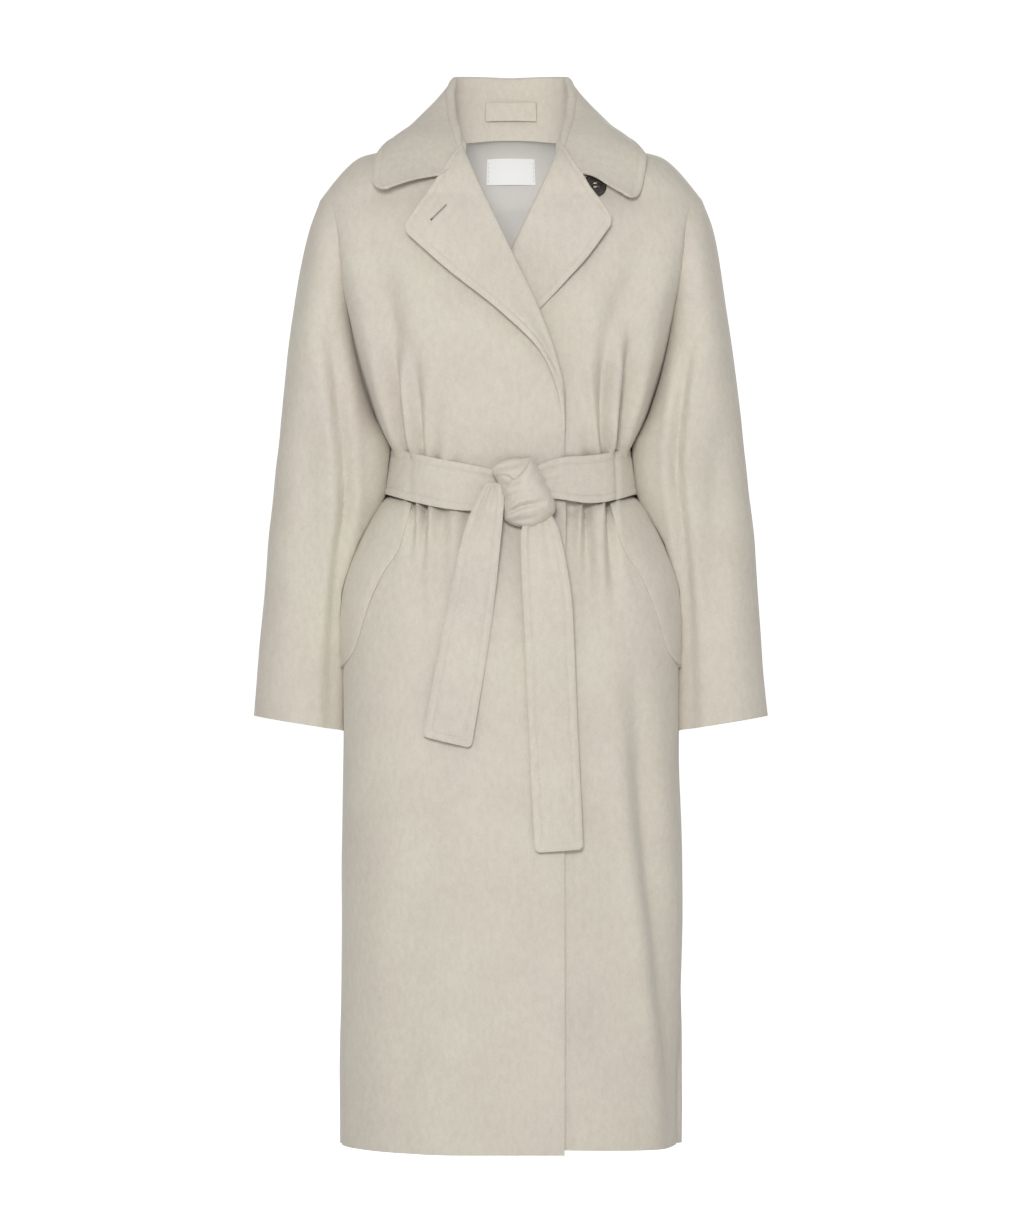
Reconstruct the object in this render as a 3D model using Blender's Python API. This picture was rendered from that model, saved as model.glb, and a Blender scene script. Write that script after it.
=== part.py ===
"""A belted double-breasted coat of thick felted wool, filled out as if worn, with nobody in it.

Each front and each back half is cut in one with its half of the sleeve, so no seam crosses the shoulder.
Every piece is a closed wall of cloth. Sizes are in millimetres and become metres when a mesh is made.
X runs across the coat, -Y is the front, Z is up, and the origin is at the back neck between the shoulders.
A level is a height before the cloth sags round the tied belt.
"""

import bpy
import numpy as np

MM = 0.001
QUARTER = np.pi / 2
FORWARD, BACKWARD, UPWARD = (0, -1, 0), (0, 1, 0), (0, 0, 1)

# Cloth thicknesses and the gap left at seams
CLOTH = 2.6
FOLDED_CLOTH = 3.4
BELT_CLOTH = 4.4
LINING_CLOTH = 1.0
SEAM_GAP = 0.4
LAY_GAP = 0.5

# Shoulders and neck
SHOULDER_LEVEL = -75.0
UNDERARM_LEVEL = -328.0
NECK_HALF = 68.0
NECK_SEAM_Y = 15.0
NECK_SEAM_Z = -2.0
NECK_BACK_Y = 70.0
NECK_BACK_RISE = 8.0
SHOULDER_HALF = 169.0
SHOULDER_SEAM_Y = 8.0
SHOULDER_DROP = 19.0
SHOULDER_SLOPE = 1.25
SHOULDER_SPREAD = 1.15
NECK_HOLLOW = 7.5
NECK_HOLLOW_SHARE = 0.35
BACK_NECK_COLUMN = 75.0

# Section shape, belt and hems
SECTION_POWER = 2.3
BELT_LEVEL = -394.0
BELT_SAG = 25.0
BELT_SAG_REACH = 90.0
HEM_LEVEL = -1187.0
UNDER_HEM_LIFT = 8.0
UNDER_HEM_START = -800.0
CUFF_LEVEL = -701.0
CUFF_RISE = 18.0


class Table:
    """Sizes by level, one row for each section, read between the rows along a smooth curve."""

    def __init__(self, columns, rows):
        self.columns = columns.split()
        self.rows = np.array(sorted(rows), dtype=float)

    def at(self, name, level):
        places = self.rows[:, 0]
        values = self.rows[:, self.columns.index(name)]
        steps = np.diff(places)
        rises = np.diff(values) / steps
        slopes = np.concatenate([rises[:1], np.zeros(len(values) - 2), rises[-1:]])
        before, after = rises[:-1], rises[1:]
        same_way = before * after > 0
        slopes[1:-1][same_way] = 2 * before[same_way] * after[same_way] / (before + after)[same_way]
        level = np.clip(level, places[0], places[-1])
        row = np.clip(np.searchsorted(places, level) - 1, 0, len(steps) - 1)
        step = steps[row]
        part = (level - places[row]) / step
        left = (1 + 2 * part) * (1 - part) ** 2 * values[row] + part * (1 - part) ** 2 * step * slopes[row]
        right = part**2 * (3 - 2 * part) * values[row + 1] - part**2 * (1 - part) * step * slopes[row + 1]
        return left + right


# The body's half width, depths, the fold beside the sleeve, and how far sleeve and body have parted
BODY = Table(
    "level reach front back fold_front fold_back parting",
    [
        (-75, 212, 92, 100, -30, 46, 0.0),
        (-110, 204, 105, 107, -28, 42, 0.2),
        (-163, 196, 116, 113, -22, 34, 0.5),
        (-210, 190, 121, 113, -14, 26, 0.72),
        (-260, 182, 123, 109, -5, 16, 0.9),
        (-328, 162, 118, 101, 5, 5, 1.0),
        (-348, 153, 113, 96, 5, 5, 1.0),
        (-357, 147, 108, 90, 5, 5, 1.0),
        (-364, 136, 102.5, 84, 5, 5, 1.0),
        (-394, 135, 103.5, 84, 5, 5, 1.0),
        (-422, 139, 106.5, 87, 5, 5, 1.0),
        (-434, 152, 111, 93, 4, 4, 1.0),
        (-452, 163, 116, 99, 2, 2, 1.0),
        (-481, 177, 121, 107, -2, -2, 1.0),
        (-511, 188, 126, 114, -6, -6, 1.0),
        (-540, 195, 130, 120, -8, -8, 1.0),
        (-580, 198, 134, 126, -10, -10, 1.0),
        (-630, 197, 137, 130, -10, -10, 1.0),
        (-706, 197, 140, 133, -8, -8, 1.0),
        (-800, 198.5, 143, 136, -6, -6, 1.0),
        (-1000, 199.5, 146, 140, -3, -3, 1.0),
        (-1187, 200, 148, 143, 0, 0, 1.0),
    ],
)

# The sleeve's inner and outer reach, its depths, and the half width of body, belt or pocket that it passes
SLEEVE = Table(
    "level inner outer front back inner_y outer_y passed",
    [
        (-75, 212, 226, -30, 46, 0, 8, 0),
        (-110, 204, 239, -40, 56, 0, 8, 0),
        (-163, 196, 250, -50, 66, 0, 8, 0),
        (-210, 190, 257, -56, 72, 0, 9, 0),
        (-260, 182, 263.5, -58, 76, 0, 10, 0),
        (-328, 162, 271, -60, 78, 5, 12, 162),
        (-345, 153, 272.5, -59, 79, 25, 13, 158),
        (-361, 141, 274, -58, 80, 40, 14, 153.5),
        (-394, 136, 278, -56, 81, 52, 15, 155),
        (-425, 140, 281, -54, 82, 50, 16, 160),
        (-452, 150, 284, -52, 82, 46, 16, 171),
        (-481, 160, 287, -50, 81, 46, 16, 186),
        (-511, 170, 289, -49, 80, 46, 16, 197),
        (-545, 180, 291.5, -48, 79, 46, 16, 203.5),
        (-600, 186, 296, -47, 77, 45, 15, 206),
        (-701, 190, 304, -46, 73, 40, 13, 204),
    ],
)

# How far past the middle each front reaches: the lapel's fold line, then the front edge
EDGE = Table(
    "level past",
    [
        (-36, -48.6), (-77, -29), (-141, 1), (-209, 33), (-264, 53), (-313, 63), (-361, 63.5),
        (-420, 63), (-1187, 62),
    ],
)

# How deep the left front lies below the right one where they overlap
UNDERLAP = Table(
    "level depth",
    [
        (-75, 0), (-120, 9), (-165, 15), (-290, 15), (-340, 9), (-380, 5), (-440, 6.5), (-600, 5.2),
        (-1187, 4.6),
    ],
)
UNDERLAP_FADE = 75.0

# The main folds, each a soft trough from one end to the other: across, level and depth at both ends
FOLD_COLUMNS = "side face across_a level_a depth_a across_b level_b depth_b width".split()
RIGHT, LEFT = -1, 1
FOLDS = [
    (RIGHT, "front", 172, -120, 0.5, 121, -358, 11.0, 8),
    (RIGHT, "front", 130, -235, 0.0, 106, -358, 12.0, 8),
    (RIGHT, "front", 96, -280, 0.0, 86, -358, 7.0, 8),
    (RIGHT, "front", 116, -430, 11.0, 126, -560, 0.0, 8),
    (RIGHT, "front", 98, -430, 12.0, 97, -620, 0.0, 8),
    (RIGHT, "front", 78, -430, 5.0, 86, -720, 1.5, 12),
    (RIGHT, "front", 84, -720, 1.0, 140, -1190, 7.0, 34),
    (LEFT, "front", 160, -140, 0.5, 120, -358, 11.0, 8),
    (LEFT, "front", 138, -170, 1.0, 108, -358, 11.0, 12),
    (LEFT, "front", 86, -290, 0.0, 88, -358, 7.0, 8),
    (LEFT, "front", 88, -430, 11.0, 86, -590, 0.0, 8),
    (LEFT, "front", 114, -430, 12.0, 112, -560, 0.0, 8),
    (LEFT, "front", 142, -610, 2.0, 166, -870, 15.0, 13),
    (LEFT, "front", 166, -870, 15.0, 194, -1120, 12.0, 13),
    (RIGHT, "back", 30, -200, 0.0, 26, -360, 7.0, 10),
    (RIGHT, "back", 66, -230, 0.0, 58, -360, 8.0, 10),
    (RIGHT, "back", 104, -250, 0.0, 92, -360, 7.0, 10),
    (LEFT, "back", 34, -240, 0.0, 28, -360, 7.0, 10),
    (LEFT, "back", 74, -210, 0.0, 62, -360, 8.0, 10),
    (LEFT, "back", 108, -260, 0.0, 96, -360, 7.0, 10),
    (RIGHT, "back", 28, -428, 7.0, 40, -640, 0.0, 11),
    (RIGHT, "back", 62, -428, 8.0, 84, -700, 0.0, 11),
    (RIGHT, "back", 98, -428, 7.0, 126, -600, 0.0, 11),
    (LEFT, "back", 30, -428, 8.0, 44, -700, 0.0, 11),
    (LEFT, "back", 66, -428, 7.0, 88, -620, 0.0, 11),
    (LEFT, "back", 100, -428, 7.0, 130, -650, 0.0, 11),
    (RIGHT, "back", 70, -720, 0.0, 104, -1190, 9.0, 30),
    (LEFT, "back", 64, -700, 0.0, 92, -1190, 9.0, 30),
]
FOLD_END = 26.0

# The four panels, each with its side and its face
PANELS = {
    "front_right": (RIGHT, "front"),
    "front_left": (LEFT, "front"),
    "back_right": (RIGHT, "back"),
    "back_left": (LEFT, "back"),
}

# Rows and columns of the cloth walls
SHOULDER_STEPS = (0.0, 0.25, 0.5, 0.75)
UPPER_LEVELS = np.linspace(SHOULDER_LEVEL, UNDERARM_LEVEL, 9)
SKIRT_LEVELS = np.array(
    [UNDERARM_LEVEL, -342, -357, -364, -394, -422, -427, -433, -446, -464, -490, -520, -555, -600]
    + [-660, -740, -850, -970, -1085, HEM_LEVEL]
)
SLEEVE_LEVELS = np.array([UNDERARM_LEVEL, -352, -385, -420, -452, -485, -520, -570, -635, CUFF_LEVEL])
FRONT_COLUMNS = 20
BACK_NECK_COLUMNS = 4
BACK_COLUMNS = 12
SLEEVE_COLUMNS = 7
COLUMN_CROWDING = 0.76

# Lapels: outer edge from the tip down to the break, by share of the fold line's length
LAPEL_TOP = -36.0
ROLL_INSET = 7.8
LAPEL_BREAK = {RIGHT: -374.0, LEFT: -318.0}
ROLL_OUT = {RIGHT: -366.0, LEFT: -326.0}
ROLL_OUT_RUN = 19.0
LAPEL_TIP_ROUND = 0.10
LAPEL_TIP_SHARE = 0.05
LAPEL_GAP = 1.0
LAPEL_LIFT = 7.5
LAPEL_LIFT_END = {RIGHT: (0.45, 0.8), LEFT: (0.12, 0.5)}
LAPEL_OUTLINE = {
    RIGHT: Table(
        "share across level",
        [
            (0, -123, -119), (0.2, -72, -166), (0.41, -12, -216), (0.6, 34, -262), (0.72, 50, -296),
            (0.84, 56.5, -328), (1, 57, -377),
        ],
    ),
    LEFT: Table(
        "share across level",
        [
            (0, -117, -110), (0.25, -80, -160), (0.5, -30, -212), (0.75, 28, -262), (0.9, 46, -296),
            (1, 53, -327),
        ],
    ),
}
LAPEL_SHARES = (0, 0.008, 0.025, 0.05, 0.11, 0.2, 0.29, 0.38, 0.47, 0.56, 0.65, 0.74, 0.82, 0.91, 1)
LAPEL_SPANS = (0, 0.2, 0.4, 0.6, 0.8, 0.94, 1)
ROLL_TURNS = (1.0, 0.72, 0.44, 0.2)

# Collar: fold line and outer edge, a row for each station from the middle back to the front end
COLLAR = Table(
    "station roll_x roll_y roll_z edge_x edge_y edge_z",
    [
        (0.0, 0, 82, 78, 0, 124, -8),
        (0.2, 40, 77, 79, 55, 119, -9),
        (0.38, 67, 58, 77, 102, 92, -8),
        (0.52, 72, 32, 59, 131, 52, -6),
        (0.68, 70, 2, 33, 144, 6, -5),
        (0.84, 62, -44, 3, 160, -52, -29),
        (1.0, 50, -83, -29, 163, -93, -60),
    ],
)
COLLAR_TIP_SHIFT = {RIGHT: (0.0, 0.0, 0.0), LEFT: (-7.0, 0.0, -20.0)}
COLLAR_TIP_START = 0.8
COLLAR_SHOULDER = 0.5
COLLAR_FRONT_STEP = 0.60
COLLAR_STATIONS = (0, 0.1, 0.2, 0.29, 0.38, 0.45, 0.52, 0.6, 0.68, 0.76, 0.84, 0.9, 0.955, 0.985, 1)
COLLAR_ROLL = 5.6
COLLAR_BULGE = 7.0
COLLAR_FRONT_RISE = 4.0
COLLAR_TIP_ROUND = 0.09
COLLAR_TIP_SHARE = 0.045
COLLAR_STAND_STEPS = (0, 0.34, 0.67)
COLLAR_ROLL_STEPS = (1.0, 0.75, 0.5, 0.25, 0.0)
COLLAR_FALL_STEPS = (0.2, 0.4, 0.6, 0.8, 0.93, 1)

# Belt: half width and depths at its middle, and how they grow from its upper edge to its lower edge
BELT_WIDTH = 57.0
BELT_HALF = 146.0
BELT_FRONT = 112.5
BELT_BACK = 94.0
BELT_FLARE = 4.5
BELT_STEPS = 44
BELT_BANDS = (-1, 0, 1)
KNOT_PLACE = (15.0, -421.0)
KNOT_BACK = 13.0
KNOT_COLUMNS = "across rise depth half_long half_wide half_deep tilt".split()
KNOT_TURNS = [
    (-11.0, 23.0, 0.0, 26.0, 15.0, 16.0, 0.26),
    (2.0, 1.0, 2.0, 31.0, 21.0, 20.0, 0.52),
    (6.0, -25.0, 0.0, 31.0, 14.5, 18.0, 0.10),
    (0.0, 0.0, -2.0, 22.0, 30.0, 14.0, 0.0),
]
KNOT_RINGS = 14
KNOT_SIDES = 26
BELT_KNOT_GAP = 14.0
BELT_ENDS = {
    "belt_end_right": Table(
        "level middle half",
        [(-428, -24, 12), (-480, -27, 19), (-530, -38, 23), (-600, -53, 25.5), (-694, -74, 27)],
    ),
    "belt_end_left": Table(
        "level middle half",
        [(-467, 30, 18), (-490, 34, 20.5), (-560, 40, 23.5), (-650, 46, 25.5), (-821, 54, 27)],
    ),
}
BELT_END_SLANT = {"belt_end_right": -11.0, "belt_end_left": 3.0}
BELT_END_ROWS = 14
BELT_END_SPANS = (-1, -0.5, 0, 0.5, 1)
BELT_END_CROWN = 1.5
BELT_END_SETTLES = (0.05, 0.6)
BELT_END_STAND = {"belt_end_right": 14.0, "belt_end_left": 9.5}

# Pocket welts: the slanted seam, from the belt down, by level
WELT_SEAM = Table(
    "level across",
    [(-426, 117), (-480, 131), (-520, 148), (-560, 163), (-600, 174), (-632, 184)],
)
WELT_TOP = -427.0
WELT_BOTTOM = -632.0
WELT_TURN = 1.50
WELT_BULGE = 2.2
WELT_SPANS = (0, 0.25, 0.5, 0.75, 0.92, 1)

# Small pieces
LINING_BOTTOM = -300.0
LINING_HALF = 118.0
LABEL_HALF = 30.5
LABEL_TOP = -18.0
LABEL_BOTTOM = -49.0
LABEL_COLUMNS = 3
LABEL_ROWS = 3
LABEL_CLOTH = 0.9
LOOP_CLOTH = 2.2
LOOP_STATION = 0.155
LOOP_COLUMNS = 4
LOOP_RISE = (0.28, 0.62)
BUTTON_PLACE = (97.5, -64.5)
BUTTON_RADIUS = 14.0
BUTTON_THICK = 4.2
BUTTON_SEAT = -1.1
BUTTON_SIDES = 28
BUTTON_PROFILE = ((0, 0), (0.8, 0), (1, 0.3), (1, 0.7), (0.86, 1), (0.74, 0.8), (0, 0.8))

# Colour, roughness
WOOL = ("wool", (0.62, 0.57, 0.48), 0.92)
SATIN = ("lining_satin", (0.62, 0.60, 0.57), 0.45)
LABEL_WEAVE = ("label_weave", (0.88, 0.88, 0.87), 0.7)
HORN = ("button_resin", (0.022, 0.016, 0.013), 0.28)


def smooth_step(low, high, value):
    """A soft change from 0 at low to 1 at high."""
    part = np.clip((value - low) / (high - low), 0, 1)
    return part * part * (3 - 2 * part)


def arch(across, half, crown, foot):
    """Depth of a rounded section: crown in its middle, foot at its half width."""
    share = np.clip(np.abs(across) / half, 0, 1)
    return foot + (crown - foot) * (1 - share**SECTION_POWER) ** (1 / SECTION_POWER)


def crown_depth(level, face):
    """Where the middle front or the middle back lies at a level."""
    return -BODY.at("front", level) if face == "front" else BODY.at("back", level)


def cape_depth(across, level, face):
    """Depth of the outline that runs over body and sleeve alike, as at the shoulder."""
    outer = SLEEVE.at("outer", level)
    return arch(across, outer, crown_depth(level, face), SLEEVE.at("outer_y", level))


def body_depth(across, level, face):
    """Depth of the body: a cape at the shoulder that becomes a trunk of its own lower down."""
    trunk = arch(across, BODY.at("reach", level), crown_depth(level, face), BODY.at("fold_" + face, level))
    parting = BODY.at("parting", level)
    return (1 - parting) * cape_depth(across, level, face) + parting * trunk


def sag(across, level, face):
    """How far the front hangs below its level round the tied belt."""
    if face == "back":
        return 0 * across * level
    share = np.clip(across / BODY.at("reach", level), -1, 1)
    return BELT_SAG * (1 - share**2) * np.exp(-(((level - BELT_LEVEL) / BELT_SAG_REACH) ** 2))


def underlap(across, level):
    """How much the left front is set back below the right front and its lapel."""
    past = EDGE.at("past", level)
    return UNDERLAP.at("depth", level) * (1 - smooth_step(past, past + UNDERLAP_FADE, across))


def fold_depth(across, level, side, face):
    """How deep the folds of one side press the cloth in at a place."""
    depth = 0 * across * level
    for row in FOLDS:
        fold = dict(zip(FOLD_COLUMNS, row))
        if fold["side"] != side or fold["face"] != face:
            continue
        run = (fold["level_a"] - level) / (fold["level_a"] - fold["level_b"])
        held = np.clip(run, 0, 1)
        middle = fold["across_a"] + (fold["across_b"] - fold["across_a"]) * held
        deep = fold["depth_a"] + (fold["depth_b"] - fold["depth_a"]) * held
        beyond = np.maximum(np.maximum(level - fold["level_a"], fold["level_b"] - level), 0)
        deep = deep * (1 - smooth_step(0, FOLD_END, beyond))
        depth = depth + deep * np.exp(-(((across - middle) / fold["width"]) ** 2))
    return depth


def stack(across, depth, height):
    """Three arrays of coordinates as one array of points."""
    return np.stack(np.broadcast_arrays(across, depth, height), axis=-1).astype(float)


def shoulder_top(share):
    """The shoulder seam, from the neck to the shoulder, by share of its length."""
    across = NECK_HALF + (SHOULDER_HALF - NECK_HALF) * share
    depth = NECK_SEAM_Y + (SHOULDER_SEAM_Y - NECK_SEAM_Y) * share
    height = NECK_SEAM_Z - SHOULDER_DROP * np.clip(share, 0, 1) ** SHOULDER_SLOPE
    return stack(across, depth, height)


def over_shoulder(top, low, step):
    """A quarter round from a point on the shoulder seam to the section at the shoulder level."""
    turn = step * QUARTER
    blend = stack(step**SHOULDER_SPREAD, np.sin(turn), 1 - np.cos(turn))
    return top + (low - top) * blend


def front_shoulder_share(across):
    """Share of the shoulder seam that stands over a point of the front's shoulder level."""
    inner = -EDGE.at("past", SHOULDER_LEVEL)
    return (across - inner) / (SLEEVE.at("outer", SHOULDER_LEVEL) - inner)


def back_top(across):
    """The upper edge of the back over a point of its shoulder level: neck curve, then shoulder seam."""
    share = np.clip(across / BACK_NECK_COLUMN, 0, 1)
    neck_y = NECK_SEAM_Y + (NECK_BACK_Y - NECK_SEAM_Y) * np.sqrt(1 - share**2)
    neck = stack(NECK_HALF * share, neck_y, NECK_SEAM_Z + NECK_BACK_RISE * (1 - share**2))
    outer = SLEEVE.at("outer", SHOULDER_LEVEL)
    seam = shoulder_top((across - BACK_NECK_COLUMN) / (outer - BACK_NECK_COLUMN))
    return np.where((across <= BACK_NECK_COLUMN)[..., None], neck, seam)


def with_shoulder(grid, face):
    """The rows over the shoulder, set above a grid that starts at the shoulder level."""
    low = grid[0]
    top = back_top(low[:, 0]) if face == "back" else shoulder_top(front_shoulder_share(low[:, 0]))
    rows = np.array([over_shoulder(top, low, np.float64(step)) for step in SHOULDER_STEPS])
    if face == "front":
        near_neck = 1 - smooth_step(0, NECK_HOLLOW_SHARE, front_shoulder_share(low[:, 0]))
        rows[..., 0] += NECK_HOLLOW * near_neck * np.sin(np.pi * np.array(SHOULDER_STEPS))[:, None]
    return np.concatenate([rows, grid])


def body_levels():
    """Every level of the body from the shoulder to the hem."""
    return np.concatenate([UPPER_LEVELS, SKIRT_LEVELS[1:]])


def body_points(angles, levels, side, face):
    """Body cloth at angles from the middle, one row a level, as if on the wearer's left."""
    level = levels[:, None]
    across = BODY.at("reach", level) * np.sin(angles)
    depth = body_depth(across, level, face)
    height = level - sag(across, level, face)
    if face == "front" and side == LEFT:
        depth = depth + underlap(across, level)
        middle = np.clip(1 - np.abs(across) / BODY.at("reach", level), 0, 1)
        height = height + UNDER_HEM_LIFT * middle * smooth_step(UNDER_HEM_START, HEM_LEVEL, level)
    return stack(across, depth, height)


def front_angles(levels, inset):
    """Angles of a front's columns at each level, from its inner edge to the side seam."""
    past = EDGE.at("past", levels) - inset
    start = -np.arcsin(np.clip(past / BODY.at("reach", levels), -1, 1))[:, None]
    share = (np.arange(FRONT_COLUMNS + 1) / FRONT_COLUMNS) ** COLUMN_CROWDING
    return start + (QUARTER - start) * share


def roll_inset(levels, side):
    """How far a front's edge stays behind the lapel's fold, nothing below the break."""
    return ROLL_INSET * smooth_step(ROLL_OUT[side] - ROLL_OUT_RUN, ROLL_OUT[side], levels)


def back_angles():
    """Angles of a back half's columns, from the centre seam past the neck point to the side seam."""
    neck = np.arcsin(BACK_NECK_COLUMN / BODY.at("reach", SHOULDER_LEVEL))
    under_neck = np.linspace(0, neck, BACK_NECK_COLUMNS + 1)
    return np.concatenate([under_neck, np.linspace(neck, QUARTER, BACK_COLUMNS - BACK_NECK_COLUMNS + 1)[1:]])


def passed_reach(depth, level):
    """Half width, at a depth, of the body, belt or pocket that the sleeve hangs beside."""
    foot = BODY.at("fold_front", level)
    crown = np.where(depth < foot, crown_depth(level, "front"), crown_depth(level, "back"))
    share = np.clip((depth - foot) / (crown - foot), 0, 1)
    return SLEEVE.at("passed", level) * (1 - share**SECTION_POWER) ** (1 / SECTION_POWER)


def sleeve_points(levels, face):
    """Half a sleeve from its inner line to its overarm line, one row a level, on the wearer's left."""
    level = levels[:, None]
    turn = np.linspace(0, np.pi, SLEEVE_COLUMNS + 1)
    share = (1 - np.cos(turn)) / 2
    joined = level >= UNDERARM_LEVEL
    inner = np.where(joined, BODY.at("reach", level), SLEEVE.at("inner", level))
    inner_y = np.where(joined, BODY.at("fold_" + face, level), SLEEVE.at("inner_y", level))
    outer, outer_y = SLEEVE.at("outer", level), SLEEVE.at("outer_y", level)
    across = inner + (outer - inner) * share
    chord = inner_y + (outer_y - inner_y) * share
    tube = chord + (SLEEVE.at(face, level) - chord) * np.sin(turn)
    parting = np.where(joined, BODY.at("parting", level), 1)
    depth = (1 - parting) * cape_depth(across, level, face) + parting * tube
    hung = smooth_step(UNDERARM_LEVEL, CUFF_LEVEL, level)
    across = np.where(joined, across, np.maximum(across, passed_reach(depth, level)))
    return stack(across, depth, level + CUFF_RISE * share * hung)


def fold_map(grid, levels, side, face):
    """Fold depths for a grid of body points, shoulder rows left smooth."""
    rows = np.concatenate([np.full(len(grid) - len(levels), SHOULDER_LEVEL), levels])[:, None]
    return fold_depth(np.abs(grid[..., 0]), rows, side, face)


def place(grid, side):
    """A grid drawn for the wearer's left, moved to its own side of the coat."""
    return grid * np.array([side, 1, 1])


def quads_of(shape, start, flip):
    """Faces of a grid of points whose first point has the number start."""
    number = np.arange(shape[0] * shape[1]).reshape(shape[:2]) + start
    quads = np.stack([number[:-1, :-1], number[1:, :-1], number[1:, 1:], number[:-1, 1:]], -1).reshape(-1, 4)
    return quads[:, ::-1] if flip else quads


def weld(points, reach=0.02):
    """Numbers that points lying in one place share."""
    keys = np.round((points + 0.00317) / reach).astype(np.int64)
    return np.unique(keys, axis=0, return_index=True, return_inverse=True)[1:]


def split_quads(points, quads):
    """Two triangles for each quad, cut along its shorter diagonal, without empty ones."""
    a, b, c, d = quads.T
    short = np.linalg.norm(points[a] - points[c], axis=1) <= np.linalg.norm(points[b] - points[d], axis=1)
    one = np.where(short[:, None], np.stack([a, b, c], 1), np.stack([a, b, d], 1))
    two = np.where(short[:, None], np.stack([a, c, d], 1), np.stack([b, c, d], 1))
    faces = np.concatenate([one, two])
    full = (faces[:, 0] != faces[:, 1]) & (faces[:, 1] != faces[:, 2]) & (faces[:, 0] != faces[:, 2])
    return faces[full]


def point_normals(points, faces, count):
    """Outward direction at each numbered point, from the faces round it."""
    a, b, c = (points[faces[:, k]] for k in range(3))
    across = np.cross(b - a, c - a)
    total = np.zeros((count, 3))
    for corner in range(3):
        np.add.at(total, faces[:, corner], across)
    return total / np.maximum(np.linalg.norm(total, axis=1), 1e-9)[:, None]


def border_edges(faces):
    """Edges with a face on one side only, each in the direction of that face."""
    edges = np.concatenate([faces[:, [0, 1]], faces[:, [1, 2]], faces[:, [2, 0]]])
    known = set(map(tuple, edges))
    return np.array([edge for edge in map(tuple, edges) if edge[::-1] not in known])


def draw_back(points, normals, faces, gap):
    """Points with the border moved into the sheet by the gap, square to the border."""
    edges = border_edges(faces)
    along = points[edges[:, 1]] - points[edges[:, 0]]
    inward = np.cross(normals[edges].mean(axis=1), along)
    inward /= np.maximum(np.linalg.norm(inward, axis=1), 1e-9)[:, None]
    shift = np.zeros_like(points)
    for end in range(2):
        np.add.at(shift, edges[:, end], inward)
    size = np.linalg.norm(shift, axis=1)
    moved = size > 1e-6
    shift[moved] *= gap / size[moved][:, None]
    return points + shift


def material(name, colour, roughness):
    """A plain material with a colour and a roughness, made once."""
    made = bpy.data.materials.get(name)
    if made is None:
        made = bpy.data.materials.new(name)
        made.use_nodes = True
        shader = made.node_tree.nodes["Principled BSDF"]
        shader.inputs["Base Color"].default_value = (*colour, 1)
        shader.inputs["Roughness"].default_value = roughness
        shader.inputs["Metallic"].default_value = 0
    return made


def solid(name, points, faces, finish):
    """One named object from points in millimetres and faces that point outwards."""
    mesh = bpy.data.meshes.new(name)
    mesh.from_pydata((points * MM).tolist(), [], [list(map(int, face)) for face in faces])
    mesh.materials.append(material(*finish))
    mesh.shade_smooth()
    mesh.set_sharp_from_angle(angle=0.7)
    made = bpy.data.objects.new(name, mesh)
    bpy.context.scene.collection.objects.link(made)
    return made


def wall(name, outer, inner, faces, finish):
    """A closed wall between an outer and an inner sheet that share their faces."""
    count = len(outer)
    edges = border_edges(faces)
    rim = np.stack([edges[:, 1], edges[:, 0], edges[:, 0] + count, edges[:, 1] + count], 1)
    points = np.concatenate([outer, inner])
    sides = split_quads(points, rim)
    return solid(name, points, np.concatenate([faces, faces[:, ::-1] + count, sides]), finish)


def sheet(name, grid, thickness, finish, outward):
    """A closed wall from one grid of outer points: its middle faces outward, its thickness is set inwards."""
    points = grid.reshape(-1, 3)
    first, number = weld(points)
    faces = split_quads(points[first], number[quads_of(grid.shape, 0, False)])
    normals = point_normals(points[first], faces, len(first))
    middle = number.reshape(grid.shape[:2])[grid.shape[0] // 2, grid.shape[1] // 2]
    if normals[middle] @ np.array(outward) < 0:
        faces, normals = faces[:, ::-1], -normals
    return wall(name, points[first], points[first] - thickness * normals, faces, finish)


def panel_grids(side, face):
    """The grids of one panel: body, sleeve above the underarm, sleeve below it, and the body's folds."""
    levels = body_levels()
    angles = front_angles(levels, roll_inset(levels, side)) if face == "front" else back_angles()[None, :]
    body = with_shoulder(body_points(angles, levels, side, face), face)
    upper = with_shoulder(sleeve_points(UPPER_LEVELS, face), face)
    lower = sleeve_points(SLEEVE_LEVELS, face)
    folds = fold_map(body, levels, side, face)
    return [(place(body, side), folds)] + [(place(g, side), np.zeros(g.shape[:2])) for g in (upper, lower)]


def on_shoulder_seam(points):
    """Which points lie on the seam between front and back over the shoulder."""
    share = (np.abs(points[:, 0]) - NECK_HALF) / (SHOULDER_HALF - NECK_HALF)
    seam = shoulder_top(np.clip(share, 0, 1))
    return (np.abs(points[:, 1:] - seam[:, 1:]).max(axis=1) < 0.05) & (np.abs(share - 0.5) < 0.51)


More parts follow.
